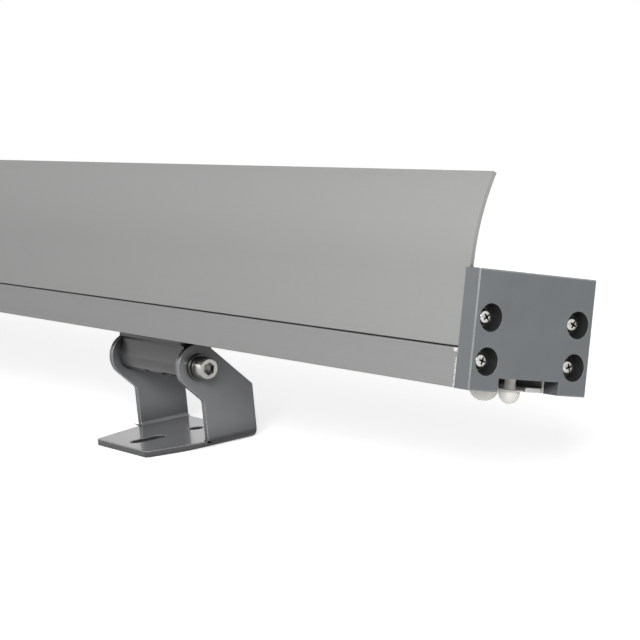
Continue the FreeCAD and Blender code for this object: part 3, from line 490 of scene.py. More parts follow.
@dataclass(frozen=True)
class Finish:
    """A solid finish: two near tones, an effect between them, and its gloss."""

    name: str
    dark: Colour
    light: Colour
    effect: Effect
    scale: float
    metallic: float = 0.0
    roughness: float = 0.45
    roughness_spread: float = 0.06
    broad: float = 0.35
    depth_mm: float = 0.01
    coat: float = 0.0
    coat_roughness: float = 0.2
    ior: float = 1.5
    dust: float = 0.0
    # Painted shade in recesses, corners and joints, from ambient occlusion, with its reach
    # and the openness that stays clean.
    painted_shade: float = 0.0
    painted_shade_reach_mm: float = 3.0
    painted_shade_clean: float = 0.85
    sawn_end_mm: float = 0.0
    transmission: float = 0.0
    subsurface: float = 0.0
    slot: Optional[str] = None

    def material(self, effects: EffectShop) -> bpy.types.Material:
        """Build the material.

        Args:
            effects: Shared node groups.

        Returns:
            The material.
        """
        material = bpy.data.materials.new(self.name)
        material.use_nodes = True
        material.diffuse_color = (*self.light, 1.0)
        wires = Wiring(material.node_tree)
        shader = material.node_tree.nodes["Principled BSDF"]
        set_inputs(shader, {
            "Metallic": self.metallic, "IOR": self.ior, "Coat Weight": self.coat,
            "Coat Roughness": self.coat_roughness,
            "Transmission Weight": self.transmission,
            "Subsurface Weight": self.subsurface, "Subsurface Scale": SUBSURFACE_REACH,
            "Subsurface Radius": (1.0, 1.0, 1.0)})
        effect = wires.add("Group", node_tree=effects.groups[self.effect],
                           values={"Scale": self.scale, "Broad": self.broad, "Depth": 1.0})
        bump = wires.add("Bump", values={"Strength": 1.0,
                                         "Distance": self.depth_mm * MM})
        rough = wires.spread(effect.outputs["Tone"],
                             self.roughness - self.roughness_spread,
                             self.roughness + self.roughness_spread)
        colour = self._colour(wires, effect.outputs["Tone"], effects)
        wires.join(colour, shader.inputs["Base Color"],
                   rough, shader.inputs["Roughness"],
                   effect.outputs["Height"], bump.inputs["Height"],
                   bump.outputs["Normal"], shader.inputs["Normal"])
        return material

    def _colour(self, wires: Wiring, tone: bpy.types.NodeSocket,
                effects: EffectShop) -> bpy.types.NodeSocket:
        """Wire the base colour, with what lies over it where the finish has some.

        Args:
            wires: Wiring of the material.
            tone: Socket with the effect's tone.
            effects: Shared node groups.

        Returns:
            The socket with the colour.
        """
        colour = wires.mixed(tone, self.dark, self.light)
        over = [
            (self.dust, effects.dust, {"Amount": self.dust}, DUST_COLOUR),
            (self.sawn_end_mm, effects.sawn, {"End": self.sawn_end_mm * MM}, BURR_COLOUR),
            # painted shade: darkens recesses, corners and joints by ambient occlusion
            (self.painted_shade, effects.painted_shade,
             {"Amount": self.painted_shade, "Reach": self.painted_shade_reach_mm * MM,
              "Clean": self.painted_shade_clean}, PAINTED_SHADE_COLOUR),
        ]
        for wanted, group, values, over_colour in over:
            if wanted:
                layer = wires.add("Group", node_tree=group, values=values)
                colour = wires.mixed(layer.outputs["Mask"], colour, over_colour)
        return colour


class Palette:
    """Every finish of the lamp, made into a material when it is first used."""

    # Where a finish darkens its recesses, corners and joints by ambient occlusion, that
    # darkening is painted shade.
    ANODISED = Finish("grey anodised extrusion", (0.236, 0.239, 0.234),
                      (0.260, 0.263, 0.257), Effect.DIE_LINES, 900.0, metallic=0.3,
                      roughness=0.40, roughness_spread=0.04, broad=0.6, depth_mm=0.002,
                      painted_shade=0.9, painted_shade_reach_mm=1.6, sawn_end_mm=491.0,
                      slot="grey_anodised")
    SHIELD = Finish("grey anodised shield", (0.268, 0.272, 0.264), (0.292, 0.296, 0.288),
                    Effect.DIE_LINES, 700.0, metallic=0.3, roughness=0.42,
                    roughness_spread=0.04, broad=0.75, depth_mm=0.0015,
                    painted_shade=0.9, painted_shade_reach_mm=1.6, slot="shield_anodised")
    CAP = Finish("grey powder coat", (0.105, 0.113, 0.118), (0.117, 0.125, 0.130),
                 Effect.ORANGE_PEEL, 1500.0, roughness=0.40, broad=0.6, depth_mm=0.003,
                 dust=0.04, painted_shade=0.97, painted_shade_reach_mm=12.0, painted_shade_clean=0.97,
                 slot="cap_paint")
    # Painted highlight: a lighter, slightly metallic copy of the cap paint on the rounded
    # arrises, standing in for light caught by the edges.
    CAP_ARRIS_HIGHLIGHT = Finish("powder coat with painted edge highlight", (0.17, 0.18, 0.185), (0.24, 0.25, 0.255),
                       Effect.ORANGE_PEEL, 900.0, metallic=0.2, roughness=0.35,
                       painted_shade=0.97, painted_shade_reach_mm=12.0, painted_shade_clean=0.97,
                       slot="cap_paint")
    BRACKET = Finish("dark grey coat", (0.142, 0.146, 0.150), (0.152, 0.156, 0.160),
                     Effect.ORANGE_PEEL, 700.0, roughness=0.25, broad=0.8,
                     roughness_spread=0.02, depth_mm=0.001, coat=0.5, coat_roughness=0.1,
                     dust=0.03, painted_shade=0.9, painted_shade_reach_mm=16.0, painted_shade_clean=0.9,
                     slot="bracket_paint")
    # Painted shade: the bracket paint made darker for the hub, which lies in shade under the
    # body; its long ambient occlusion reach darkens it further.
    HUB = Finish("bracket coat darkened as painted shade", (0.062, 0.064, 0.066), (0.070, 0.072, 0.074),
                 Effect.ORANGE_PEEL, 700.0, roughness=0.33, broad=0.8,
                 roughness_spread=0.02, depth_mm=0.001, coat=0.3, coat_roughness=0.2,
                 painted_shade=0.95, painted_shade_reach_mm=22.0, painted_shade_clean=0.95, slot="bracket_paint")
    # Painted highlight: a lighter, slightly metallic copy of the bracket paint on the rounded
    # arrises, standing in for light caught by the edges.
    BRACKET_ARRIS_HIGHLIGHT = Finish("dark coat with painted edge highlight", (0.22, 0.225, 0.23), (0.26, 0.265, 0.27),
                           Effect.ORANGE_PEEL, 900.0, metallic=0.2, roughness=0.28,
                           painted_shade=0.9, painted_shade_reach_mm=9.0, slot="bracket_paint")
    STEEL = Finish("bright stainless steel", (0.58, 0.57, 0.54), (0.70, 0.69, 0.66),
                   Effect.TURNING, 2500.0, metallic=1.0, roughness=0.16,
                   roughness_spread=0.04, depth_mm=0.002, painted_shade=0.85, painted_shade_reach_mm=1.6,
                   slot="steel")
    BOLT_STEEL = Finish("ground stainless steel", (0.55, 0.54, 0.51), (0.66, 0.65, 0.62),
                        Effect.TURNING, 2500.0, metallic=1.0, roughness=0.2,
                        roughness_spread=0.04, depth_mm=0.002, painted_shade=0.9,
                        painted_shade_reach_mm=5.0, painted_shade_clean=0.7, slot="steel")
    # Painted shade: steel made near black for the flat and spring washers, standing in for
    # the shadow that the bolt head casts on them.
    WASHER_STEEL_IN_SHADE = Finish("washer steel darkened as painted shade", (0.12, 0.12, 0.117), (0.16, 0.16, 0.155),
                          Effect.TURNING, 2500.0, metallic=1.0, roughness=0.34,
                          depth_mm=0.001, painted_shade=0.5, painted_shade_reach_mm=2.0, slot="steel")
    SEALANT = Finish("clear sealant", (0.58, 0.6, 0.58), (0.72, 0.73, 0.71),
                     Effect.MOULDED, 500.0, roughness=0.3, slot="gasket_rubber")
    MILL = Finish("mill finish aluminium", (0.55, 0.55, 0.56), (0.66, 0.66, 0.67),
                  Effect.DIE_LINES, 1200.0, metallic=1.0, roughness=0.38, depth_mm=0.006,
                  slot="raw_aluminium")
    NYLON = Finish("black nylon", (0.012, 0.012, 0.012), (0.022, 0.022, 0.022),
                   Effect.MOULDED, 1500.0, roughness=0.5, slot="washer_plastic")
    GASKET = Finish("pale silicone sheet", (0.62, 0.6, 0.56), (0.72, 0.7, 0.66),
                    Effect.MOULDED, 900.0, roughness=0.7, slot="gasket_rubber")
    SEAL = Finish("silicone seal", (0.6, 0.6, 0.58), (0.7, 0.7, 0.68),
                  Effect.MOULDED, 900.0, roughness=0.65, slot="seal_rubber")
    BOARD = Finish("white board", (0.74, 0.74, 0.72), (0.82, 0.82, 0.8),
                   Effect.MOULDED, 500.0, roughness=0.45, slot="white_board")
    GREEN = Finish("green board", (0.012, 0.12, 0.05), (0.02, 0.17, 0.075),
                   Effect.MOULDED, 400.0, roughness=0.35, slot="green_board")
    CERAMIC = Finish("white ceramic", (0.76, 0.75, 0.72), (0.85, 0.84, 0.8),
                     Effect.MOULDED, 2500.0, roughness=0.4, slot="led_phosphor")
    PHOSPHOR = Finish("yellow phosphor", (0.78, 0.52, 0.05), (0.88, 0.66, 0.1),
                      Effect.MOULDED, 3000.0, roughness=0.25, coat=0.6,
                      slot="led_phosphor")
    BLACK_CASE = Finish("black moulded case", (0.015, 0.015, 0.016), (0.03, 0.03, 0.03),
                        Effect.MOULDED, 900.0, roughness=0.35, slot="component_plastic")
    FERRITE = Finish("grey ferrite", (0.05, 0.05, 0.055), (0.08, 0.08, 0.085),
                     Effect.MOULDED, 1800.0, roughness=0.6, slot="component_plastic")
    TAPE = Finish("yellow winding tape", (0.55, 0.42, 0.06), (0.65, 0.5, 0.09),
                  Effect.MOULDED, 900.0, roughness=0.4, slot="component_plastic")
    TERMINAL = Finish("green terminal plastic", (0.03, 0.2, 0.09), (0.045, 0.26, 0.12),
                      Effect.MOULDED, 900.0, roughness=0.4, slot="terminal_plastic")
    SLEEVE = Finish("red lead sleeve", (0.4, 0.02, 0.015), (0.5, 0.03, 0.02),
                    Effect.MOULDED, 900.0, roughness=0.4, slot="lead_sleeve")
    MILKY = Finish("milky plastic", (0.68, 0.66, 0.62), (0.78, 0.76, 0.73),
                   Effect.MOULDED, 260.0, roughness=0.25, depth_mm=0.02, coat=0.3,
                   transmission=0.12, subsurface=0.3, slot="clear_plastic")
    NUT = Finish("natural nylon", (0.62, 0.6, 0.56), (0.72, 0.7, 0.67),
                 Effect.MOULDED, 900.0, roughness=0.5, slot="nut_plastic")
    GLASS = Finish("clear toughened glass", (0.93, 0.97, 0.96), (0.95, 0.985, 0.975),
                   Effect.MOULDED, 12.0, roughness=0.02, roughness_spread=0.015,
                   depth_mm=0.0005, transmission=1.0, slot="clear_glass")
    ACRYLIC = Finish("clear acrylic", (0.95, 0.96, 0.97), (0.97, 0.98, 0.985),
                     Effect.MOULDED, 200.0, roughness=0.04, roughness_spread=0.02,
                     depth_mm=0.001, transmission=1.0, ior=1.49, slot="lens_acrylic")

    def __init__(self) -> None:
        """Build the shared effects."""
        self.effects = EffectShop()
        self.made: dict[str, bpy.types.Material] = {}

    def __getitem__(self, finish: Finish) -> bpy.types.Material:
        """Material of a finish.

        Args:
            finish: One of the finishes above.

        Returns:
            The material, made once.
        """
        if finish.name not in self.made:
            self.made[finish.name] = finish.material(self.effects)
        return self.made[finish.name]


# ------------------------------------------------------------------ mesh making


def round_rings(profile: Iterable[tuple[float, float]]) -> list[Ring]:
    """Turn a profile into round rings.

    Args:
        profile: Radius and height of each ring.

    Returns:
        The rings.
    """
    return [(Outline.ROUND, radius, height) for radius, height in profile]


class Former:
    """Forms one piece's mesh from turned rings, extruded sections and sweeps."""

    def __init__(self) -> None:
        """Start with an empty mesh."""
        self.mesh = bmesh.new()

    def turned(self, rings: Sequence[Ring], place: Matrix, steps: int = 32,
               finish: int = 0) -> None:
        """Add a closed solid that is turned about its own Z axis.

        Args:
            rings: Outline, radius and height of each ring, from one pole to the other,
                or round to the first ring again.
            place: Matrix of the solid.
            steps: Points round each ring.
            finish: Number of its material.
        """
        loops = [self._ring(ring, place, steps) for ring in rings]
        for lower, upper in zip(loops, loops[1:]):
            self._skin(lower, upper, finish)

    def _ring(self, ring: Ring, place: Matrix, steps: int) -> list[bmesh.types.BMVert]:
        """Add the points of one ring, or one point where it is a pole.

        Args:
            ring: Outline, radius and height.
            place: Matrix of the solid.
            steps: Points round the ring.

        Returns:
            The points.
        """
        outline, radius, height = ring
        if radius == 0:
            return [self.mesh.verts.new(place @ Vector((0, 0, height)))]
        points = []
        for step in range(steps):
            angle = 2 * math.pi * step / steps
            reach = outline.reach(radius, step, steps)
            point = Vector((reach * math.cos(angle), reach * math.sin(angle),
                            height + outline.lift(step, steps)))
            points.append(self.mesh.verts.new(place @ point))
        return points

    def _skin(self, lower: list[bmesh.types.BMVert], upper: list[bmesh.types.BMVert],
              finish: int) -> None:
        """Join two rings with faces.

        Args:
            lower: Points of the first ring.
            upper: Points of the second ring.
            finish: Number of the material.
        """
        count = max(len(lower), len(upper))
        for step in range(count if count > 1 else 0):
            after = (step + 1) % count
            corners = [lower[step % len(lower)], lower[after % len(lower)],
                       upper[after % len(upper)], upper[step % len(upper)]]
            unique = list(dict.fromkeys(corners))
            if len(unique) > 2:
                self.mesh.faces.new(unique).material_index = finish

    def extruded(self, section: Section, start: float, end: float, place: Matrix,
                 finish: int = 0) -> None:
        """Add a solid with one section in Y and Z, from start to end along X.

        Args:
            section: Corners of the section.
            start: First X.
            end: Last X.
            place: Matrix of the solid.
            finish: Number of its material.
        """
        rows = [[self.mesh.verts.new(place @ Vector((x, y, z))) for y, z in section]
                for x in (start, end)]
        for step in range(len(section)):
            after = (step + 1) % len(section)
            face = self.mesh.faces.new((rows[0][step], rows[0][after],
                                        rows[1][after], rows[1][step]))
            face.material_index = finish
        for row in rows:
            self.mesh.faces.new(row).material_index = finish

    def swept(self, section: Section, path: Sequence[Matrix], finish: int = 0) -> None:
        """Add a solid with one section carried along a path.

        Args:
            section: Corners of the section, in the local X and Y.
            path: Matrices along the path.
            finish: Number of its material.
        """
        rows = [[self.mesh.verts.new(stop @ Vector((u, v, 0.0))) for u, v in section]
                for stop in path]
        for first, second in zip(rows, rows[1:]):
            self._skin(first, second, finish)
        for row in (rows[0], rows[-1]):
            self.mesh.faces.new(row).material_index = finish

    def piece(self, name: str, sharp_above: float = 40.0) -> bpy.types.Object:
        """Close the mesh and make it an object.

        Args:
            name: Name of the piece.
            sharp_above: Edges that turn more than this stay sharp.

        Returns:
            The object, in the scene.
        """
        bmesh.ops.recalc_face_normals(self.mesh, faces=self.mesh.faces)
        for edge in self.mesh.edges:
            turn = edge.calc_face_angle(math.pi) if edge.is_manifold else math.pi
            edge.smooth = turn < math.radians(sharp_above)
        for face in self.mesh.faces:
            face.smooth = True
        data = bpy.data.meshes.new(name)
        self.mesh.to_mesh(data)
        self.mesh.free()
        item = bpy.data.objects.new(name, data)
        bpy.context.scene.collection.objects.link(item)
        return item


class Workshop:
    """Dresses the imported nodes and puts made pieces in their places."""

    WELD_REACH = 0.001 * MM
    FLAT_BELOW = math.radians(0.5)
    ROUND_ABOVE = math.radians(35)

    def __init__(self) -> None:
        """Set out the finishes."""
        self.palette = Palette()

    def dress(self, node: str, finish: Finish, round_mm: float = 0.0,
              arris: Optional[Finish] = None) -> None:
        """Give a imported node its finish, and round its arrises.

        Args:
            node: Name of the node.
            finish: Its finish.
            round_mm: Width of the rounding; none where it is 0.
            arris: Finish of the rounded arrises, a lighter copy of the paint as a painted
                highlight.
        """
        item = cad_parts[node]
        item.data.materials.clear()
        item.data.materials.append(self.palette[finish])
        for face in item.data.polygons:
            face.use_smooth = True
        if round_mm:
            weld = item.modifiers.new("Weld", "WELD")
            weld.merge_threshold = self.WELD_REACH
            flat = item.modifiers.new("Merged facets", "DECIMATE")
            flat.decimate_type = "DISSOLVE"
            flat.angle_limit = self.FLAT_BELOW
            bevel = item.modifiers.new("Rounded arrises", "BEVEL")
            bevel.limit_method = "ANGLE"
            bevel.angle_limit = self.ROUND_ABOVE
            bevel.width = round_mm * MM
            bevel.segments = 2
            bevel.use_clamp_overlap = False
            if arris:
                # The arris finish is a painted highlight along the rounded edges.
                item.data.materials.append(self.palette[arris])
                bevel.material = 1
            normals = item.modifiers.new("Even normals", "WEIGHTED_NORMAL")
            normals.keep_sharp = True
        LOG.info("node %s: %s", node, finish.name)

    def fit(self, piece: bpy.types.Object, body: Body, finishes: Sequence[Finish],
            *nodes: str) -> None:
        """Give a made piece its finishes, its body and the nodes it stands for.

        Args:
            piece: The made piece.
            body: Body that it rides on.
            finishes: Its finishes, by number.
            nodes: Nodes that it replaces.
        """
        for finish in finishes:
            piece.data.materials.append(self.palette[finish])
        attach(piece, body.value)
        if finishes[0].slot:
            finishes[0].slot
        if nodes:
            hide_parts(*nodes)
        LOG.info("piece %s: %d faces", piece.name, len(piece.data.polygons))


# ------------------------------------------------------------------ fasteners


@dataclass(frozen=True)
class Thread:
    """Ridges that stand for a screw thread."""

    radius: float
    pitch: float

    def rings(self, low: float, high: float) -> list[Ring]:
        """Rings of the threaded part, from its tip upwards.

        Args:
            low: Height of the tip.
            high: Height of the last ridge.

        Returns:
            The rings, with the pole at the tip.
        """
        root = self.radius - 0.55 * self.pitch
        profile = [(0.0, low), (root * 0.9, low)]
        height = low + 0.3 * self.pitch
        while height + self.pitch < high:
            profile += [(root, height), (self.radius, height + 0.5 * self.pitch)]
            height += self.pitch
        return round_rings(profile + [(root, height), (self.radius, high)])


@dataclass(frozen=True)
class PanScrew:
    """Pan head screw with a cross recess; its seat is at height 0, the head above."""

    head_radius: float
    head_height: float
    thread: Thread
    length: float

    DOME: ClassVar[Profile] = (
        (0.97, 0.0), (1.0, 0.08), (1.0, 0.48), (0.985, 0.58), (0.95, 0.67),
        (0.89, 0.76), (0.8, 0.85), (0.68, 0.93), (0.56, 0.98))
    RECESS: ClassVar[float] = 0.5

    def add(self, former: Former, place: Matrix) -> None:
        """Add the screw to a piece.

        Args:
            former: The piece.
            place: Matrix of the seat, with Z out of the head.
        """
        radius, top = self.head_radius, self.head_height
        rings = self.thread.rings(-self.length, 0.0)
        rings += round_rings((radius * across, top * up) for across, up in self.DOME)
        recess = radius * self.RECESS
        rings += [(Outline.CROSS, recess, top),
                  (Outline.CROSS, recess * 0.9, top * 0.88),
                  (Outline.CROSS, recess * 0.5, top * 0.3),
                  (Outline.ROUND, 0.0, top * 0.2)]
        former.turned(rings, place, steps=32)


@dataclass(frozen=True)
class SocketScrew:
    """Cap screw with a knurled head and a hexagon socket; its seat is at height 0."""

    head_radius: float
    head_height: float
    socket_radius: float
    socket_depth: float
    thread: Thread
    length: float

    def add(self, former: Former, place: Matrix, steps: int = 72) -> None:
        """Add the screw to a piece.

        Args:
            former: The piece.
            place: Matrix of the seat, with Z out of the head.
            steps: Points round the head.
        """
        radius, top = self.head_radius, self.head_height
        rings = self.thread.rings(-self.length, 0.0)
        rings += [
            (Outline.ROUND, radius * 0.95, 0.0),
            (Outline.ROUND, radius * 0.985, top * 0.04),
            (Outline.KNURL, radius, top * 0.1),
            (Outline.KNURL, radius, top * 0.86),
            (Outline.ROUND, radius * 0.95, top * 0.93),
            (Outline.ROUND, radius * 0.88, top),
            (Outline.HEXAGON, self.socket_radius * 1.07, top),
            (Outline.HEXAGON, self.socket_radius, top * 0.96),
            (Outline.HEXAGON, self.socket_radius, top - self.socket_depth),
            (Outline.ROUND, self.socket_radius * 0.5, top - self.socket_depth - 0.3),
            (Outline.ROUND, 0.0, top - self.socket_depth - 0.7),
        ]
        former.turned(rings, place, steps=steps)


def washer_rings(outer: float, inner: float, thickness: float, edge: float) -> list[Ring]:
    """Rings of a flat washer with eased edges, that closes on itself.

    Args:
        outer: Outer radius.
        inner: Radius of the bore.
        thickness: Thickness, from height 0.
        edge: Size of the eased edges.

    Returns:
        The rings; the first one is repeated at the end.
    """
    return round_rings([
        (inner, edge), (inner + edge, 0.0), (outer - edge, 0.0), (outer, edge),
        (outer, thickness - edge), (outer - edge, thickness), (inner + edge, thickness),
        (inner, thickness - edge), (inner, edge)])


# ------------------------------------------------------------------ sub-assemblies


@dataclass
class LampBody:
    """Extruded body with its cover glass and seal."""

    arris: float = 0.25
    glass_arris: float = 0.3

    def build(self, shop: Workshop) -> None:
        """Dress the body, the glass and the seal.

        Args:
            shop: The workshop.
        """
        shop.dress("body_extrusion", Palette.ANODISED, self.arris)
        shop.dress("cover_glass", Palette.GLASS, self.glass_arris)
        shop.dress("glass_seal", Palette.SEAL)


@dataclass
class GlareShield:
    """Curved visor, with a hook and a T-rail at its foot."""

    half_length: float = 491.5
    front: float = STRIP_FRONT
    thickness: float = 1.6
    foot: float = 27.2
    bend: float = 56.0
    radius: float = 102.0
    top: float = 91.4
    steps: int = 28
    neck: float = -22.8
    rail_tip: float = -22.0
    rail_height: float = 45.0
    rail_web: float = 0.8
    rail_flange: float = 1.8
    hook_top: float = 3.0
    hook_low: float = 24.5
    hook_front: float = -24.0
    eased: float = 0.15

    def section(self) -> Section:
        """Section of the visor in the head's frame.

        Returns:
            The corners, with the bend in short steps.
        """
        centre = self.front + self.radius
        sweep = math.asin((self.top - self.bend) / self.radius)
        inner = self.radius - self.thickness
        turns = [sweep * step / self.steps for step in range(self.steps + 1)]
        outside = [(centre - self.radius * math.cos(turn),
                    self.bend + self.radius * math.sin(turn)) for turn in turns]
        inside = [(centre - inner * math.cos(turn), self.bend + inner * math.sin(turn))
                  for turn in reversed(turns)]
        back = self.front + self.thickness
        web, flange = self.rail_web, self.rail_flange
        half = [(back, web), (self.neck, web), (self.neck, flange), (self.rail_tip, flange)]
        rail = [(y, self.rail_height + z) for y, z in half]
        rail += [(y, self.rail_height - z) for y, z in reversed(half)]
        hook_top = self.foot + self.hook_top
        hook = [(back, hook_top), (self.neck, hook_top), (self.neck, self.hook_low),
                (self.hook_front, self.hook_low), (self.hook_front, self.foot)]
        edge = [(self.front + self.eased, self.foot), (self.front, self.foot + self.eased)]
        return edge + outside + inside + rail + hook

    def build(self, shop: Workshop) -> None:
        """Make the visor in place of its node.

        Args:
            shop: The workshop.
        """
        former = Former()
        former.extruded(self.section(), -self.half_length, self.half_length, HEAD.at())
        piece = former.piece("curved_glare_shield")
        shop.fit(piece, Body.HEAD, [Palette.SHIELD], "glare_shield")


@dataclass
class LightEngine:
    """LED boards with their emitters, lenses and screws."""

    pitch: float = 40.0
    board_middle: float = 244.45
    lights_each_way: int = 6
    board_top: float = LED_BOARD_TOP
    base_half: float = 1.75
    base_height: float = 0.8
    base_edge: float = 0.15
    dome_seat: float = 0.75
    dome_radius: float = 1.38
    dome_rise: float = 0.7
    screw_reach: float = 200.0
    driver_screw_x: float = 144.0
    driver_screw_y: float = 14.75
    board_screw: PanScrew = PanScrew(2.75, 1.8, Thread(1.45, 0.5), 4.4)
    driver_screw: PanScrew = PanScrew(2.75, 1.8, Thread(1.45, 0.5), 6.0)

    def places(self) -> list[float]:
        """X of every LED.

        Returns:
            The places, on both boards.
        """
        steps = range(-self.lights_each_way, self.lights_each_way)
        return [side * (self.board_middle + (step + 0.5) * self.pitch)
                for side in (1, -1) for step in steps]

    def build(self, shop: Workshop) -> None:
        """Make what stands on the boards, and dress the boards.

        Args:
            shop: The workshop.
        """
        shop.dress("led_boards", Palette.BOARD, 0.15)
        self._emitters(shop)
        self._lenses(shop)
        self._screws(shop)

    def _emitters(self, shop: Workshop) -> None:
        """Make the LEDs: a ceramic base and a phosphor dome.

        Args:
            shop: The workshop.
        """
        half, height, edge = self.base_half, self.base_height, self.base_edge
        square = [(-half, 0.0), (half, 0.0), (half, height - edge), (half - edge, height),
                  (edge - half, height), (-half, height - edge)]
        foot = self.dome_seat + 0.03
        turns = [math.radians(15 * step) for step in range(1, 6)]
        dome = [(0.0, self.dome_seat), (self.dome_radius, self.dome_seat)]
        dome += [(self.dome_radius * math.cos(turn), foot + self.dome_rise * math.sin(turn))
                 for turn in turns]
        dome.append((0.0, foot + self.dome_rise))
        former = Former()
        for x in self.places():
            place = HEAD.at(x, 0.0, self.board_top)
            former.extruded(square, -half, half, place, 0)
            former.turned(round_rings(dome), place, 20, 1)
        piece = former.piece("led_emitters")
        shop.fit(piece, Body.HEAD, [Palette.CERAMIC, Palette.PHOSPHOR], "led_chips")

    def _lenses(self, shop: Workshop) -> None:
        """Make the collimator lenses.

        Args:
            shop: The workshop.
        """
        profile = [(0.0, 2.6), (1.2, 2.45), (2.1, 1.9), (2.5, 1.2), (2.6, 0.0), (5.0, 0.0),
                   (5.3, 0.35), (6.3, 2.1), (7.2, 4.0), (7.9, 5.6), (8.2, 6.3), (8.9, 6.5),
                   (9.0, 6.7), (9.0, 7.3), (8.9, 7.4), (7.6, 7.4), (7.3, 7.1), (4.2, 7.0),
                   (3.0, 7.15), (1.6, 7.3), (0.0, 7.36)]
        former = Former()
        for x in self.places():
            former.turned(round_rings(profile), HEAD.at(x, 0.0, self.board_top), 40)
        piece = former.piece("collimator_lenses", 50.0)
        shop.fit(piece, Body.HEAD, [Palette.ACRYLIC], "lenses")

    def _screws(self, shop: Workshop) -> None:
        """Make the screws of the LED boards and the driver board.

        Args:
            shop: The workshop.
        """
        former = Former()
        for side in (1, -1):
            for step in (-1, 0, 1):
                x = side * (self.board_middle + step * self.screw_reach)
                self.board_screw.add(former, HEAD.at(x, 0.0, self.board_top))
        for x in (self.driver_screw_x, -self.driver_screw_x):
            for y in (self.driver_screw_y, -self.driver_screw_y):
                self.driver_screw.add(former, HEAD.at(x, y, DRIVER_BOARD_TOP))
        piece = former.piece("cross_recess_board_screws")
        shop.fit(piece, Body.HEAD, [Palette.STEEL], "board_screws")


@dataclass
class Driver:
    """Driver board with its components, in the closed bay under the shelf."""

    board_top: float = DRIVER_BOARD_TOP
    core_half: float = 10.0
    core_height: float = 11.4
    core_edge: float = 0.8
    core_outer: float = 13.0
    core_inner: float = 9.0
    can_starts: tuple[float, float] = (-52.0, 52.0)
    can_middle: float = 5.0
    choke_x: float = -91.0
    choke_size: tuple[float, float, float, float] = (4.95, 2.55, 5.0, 0.7)

    def build(self, shop: Workshop) -> None:
        """Make the components and dress the rest.

        Args:
            shop: The workshop.
        """
        shop.dress("driver_board", Palette.GREEN, 0.15)
        shop.dress("terminal_block", Palette.TERMINAL, 0.3)
        shop.dress("board_leads", Palette.SLEEVE)
        former = Former()
        self._transformer(former)
        can = [(0.0, 0.0), (4.7, 0.0), (5.0, 0.3), (5.0, 2.0), (4.7, 2.4), (4.7, 2.8),
               (5.0, 3.2), (5.0, 17.6), (4.6, 18.0), (4.0, 17.9), (0.0, 17.8)]
        for start in self.can_starts:
            place = HEAD.at(start, 0.0, self.board_top + self.can_middle)
            former.turned(round_rings(can), place @ ALONG_X, 32, 2)
        choke = HEAD.at(self.choke_x, 0.0, self.board_top + self.can_middle)
        former.turned(washer_rings(*self.choke_size), choke @ ALONG_X, 40, 0)
        piece = former.piece("driver_parts")
        shop.fit(piece, Body.HEAD, [Palette.FERRITE, Palette.TAPE, Palette.BLACK_CASE],
                 "driver_components")

    def _transformer(self, former: Former) -> None:
        """Add the transformer: two core halves and the taped winding between them.

        Args:
            former: The piece.
        """
        low, half, edge = self.board_top, self.core_half, self.core_edge
        top = low + self.core_height
        core = [(-half, low), (half, low), (half, top - edge), (half - edge, top),
                (edge - half, top), (-half, top - edge)]
        former.extruded(core, -self.core_outer, -self.core_inner, HEAD.at(), 0)
        former.extruded(core, self.core_inner, self.core_outer, HEAD.at(), 0)
        winding = [(-9.0, low + 1.0), (9.0, low + 1.0), (9.4, low + 2.0),
                   (9.4, low + 9.6), (9.0, low + 10.6), (-9.0, low + 10.6),
                   (-9.4, low + 9.6), (-9.4, low + 2.0)]
        former.extruded(winding, -self.core_inner, self.core_inner, HEAD.at(), 1)


@dataclass
class Plugs:
    """Domed plugs in the mouth of the channel, near the right end."""

    under: float = 12.0
    setback: float = 1.0
    breather_x: float = 488.2
    entry_x: float = 473.4

    def build(self, shop: Workshop) -> None:
        """Make both plugs and dress their nuts.

        Args:
            shop: The workshop.
        """
        smooth, wavy = Outline.ROUND, Outline.WAVY
        breather = [(smooth, 0.0, -4.78), (smooth, 1.1, -4.62), (smooth, 2.2, -4.1),
                    (smooth, 3.1, -3.25), (smooth, 3.7, -2.2), (smooth, 3.98, -1.1),
                    (smooth, 3.95, -0.3), (smooth, 3.7, 0.0), (wavy, 4.4, 0.2),
                    (wavy, 5.4, 0.3), (wavy, 5.5, 0.42), (wavy, 5.4, 0.52),
                    (wavy, 4.2, 0.5), (smooth, 2.6, 0.7), (smooth, 2.2, 1.1),
                    (smooth, 2.05, 3.0), (smooth, 2.2, 4.95), (smooth, 1.2, 5.0),
                    (smooth, 1.2, 9.2), (smooth, 0.0, 9.2)]
        entry = round_rings([
            (0.0, -5.28), (1.6, -5.1), (3.0, -4.5), (4.3, -3.5), (5.2, -2.2), (5.75, -0.9),
            (5.86, -0.3), (5.6, 0.0), (4.2, 0.1), (4.0, 0.4), (4.0, 4.95), (2.95, 5.0),
            (2.95, 9.2), (0.0, 9.2)])
        for name, rings, x, node in (
                ("breather_with_collar", breather, self.breather_x, "breather_plug"),
                ("cable_entry_plug", entry, self.entry_x, "entry_plug")):
            former = Former()
            former.turned(rings, HEAD.at(x, self.setback, self.under), 48)
            shop.fit(former.piece(name, 50.0), Body.HEAD, [Palette.MILKY], node)
        shop.dress("plug_nuts", Palette.NUT, 0.2)


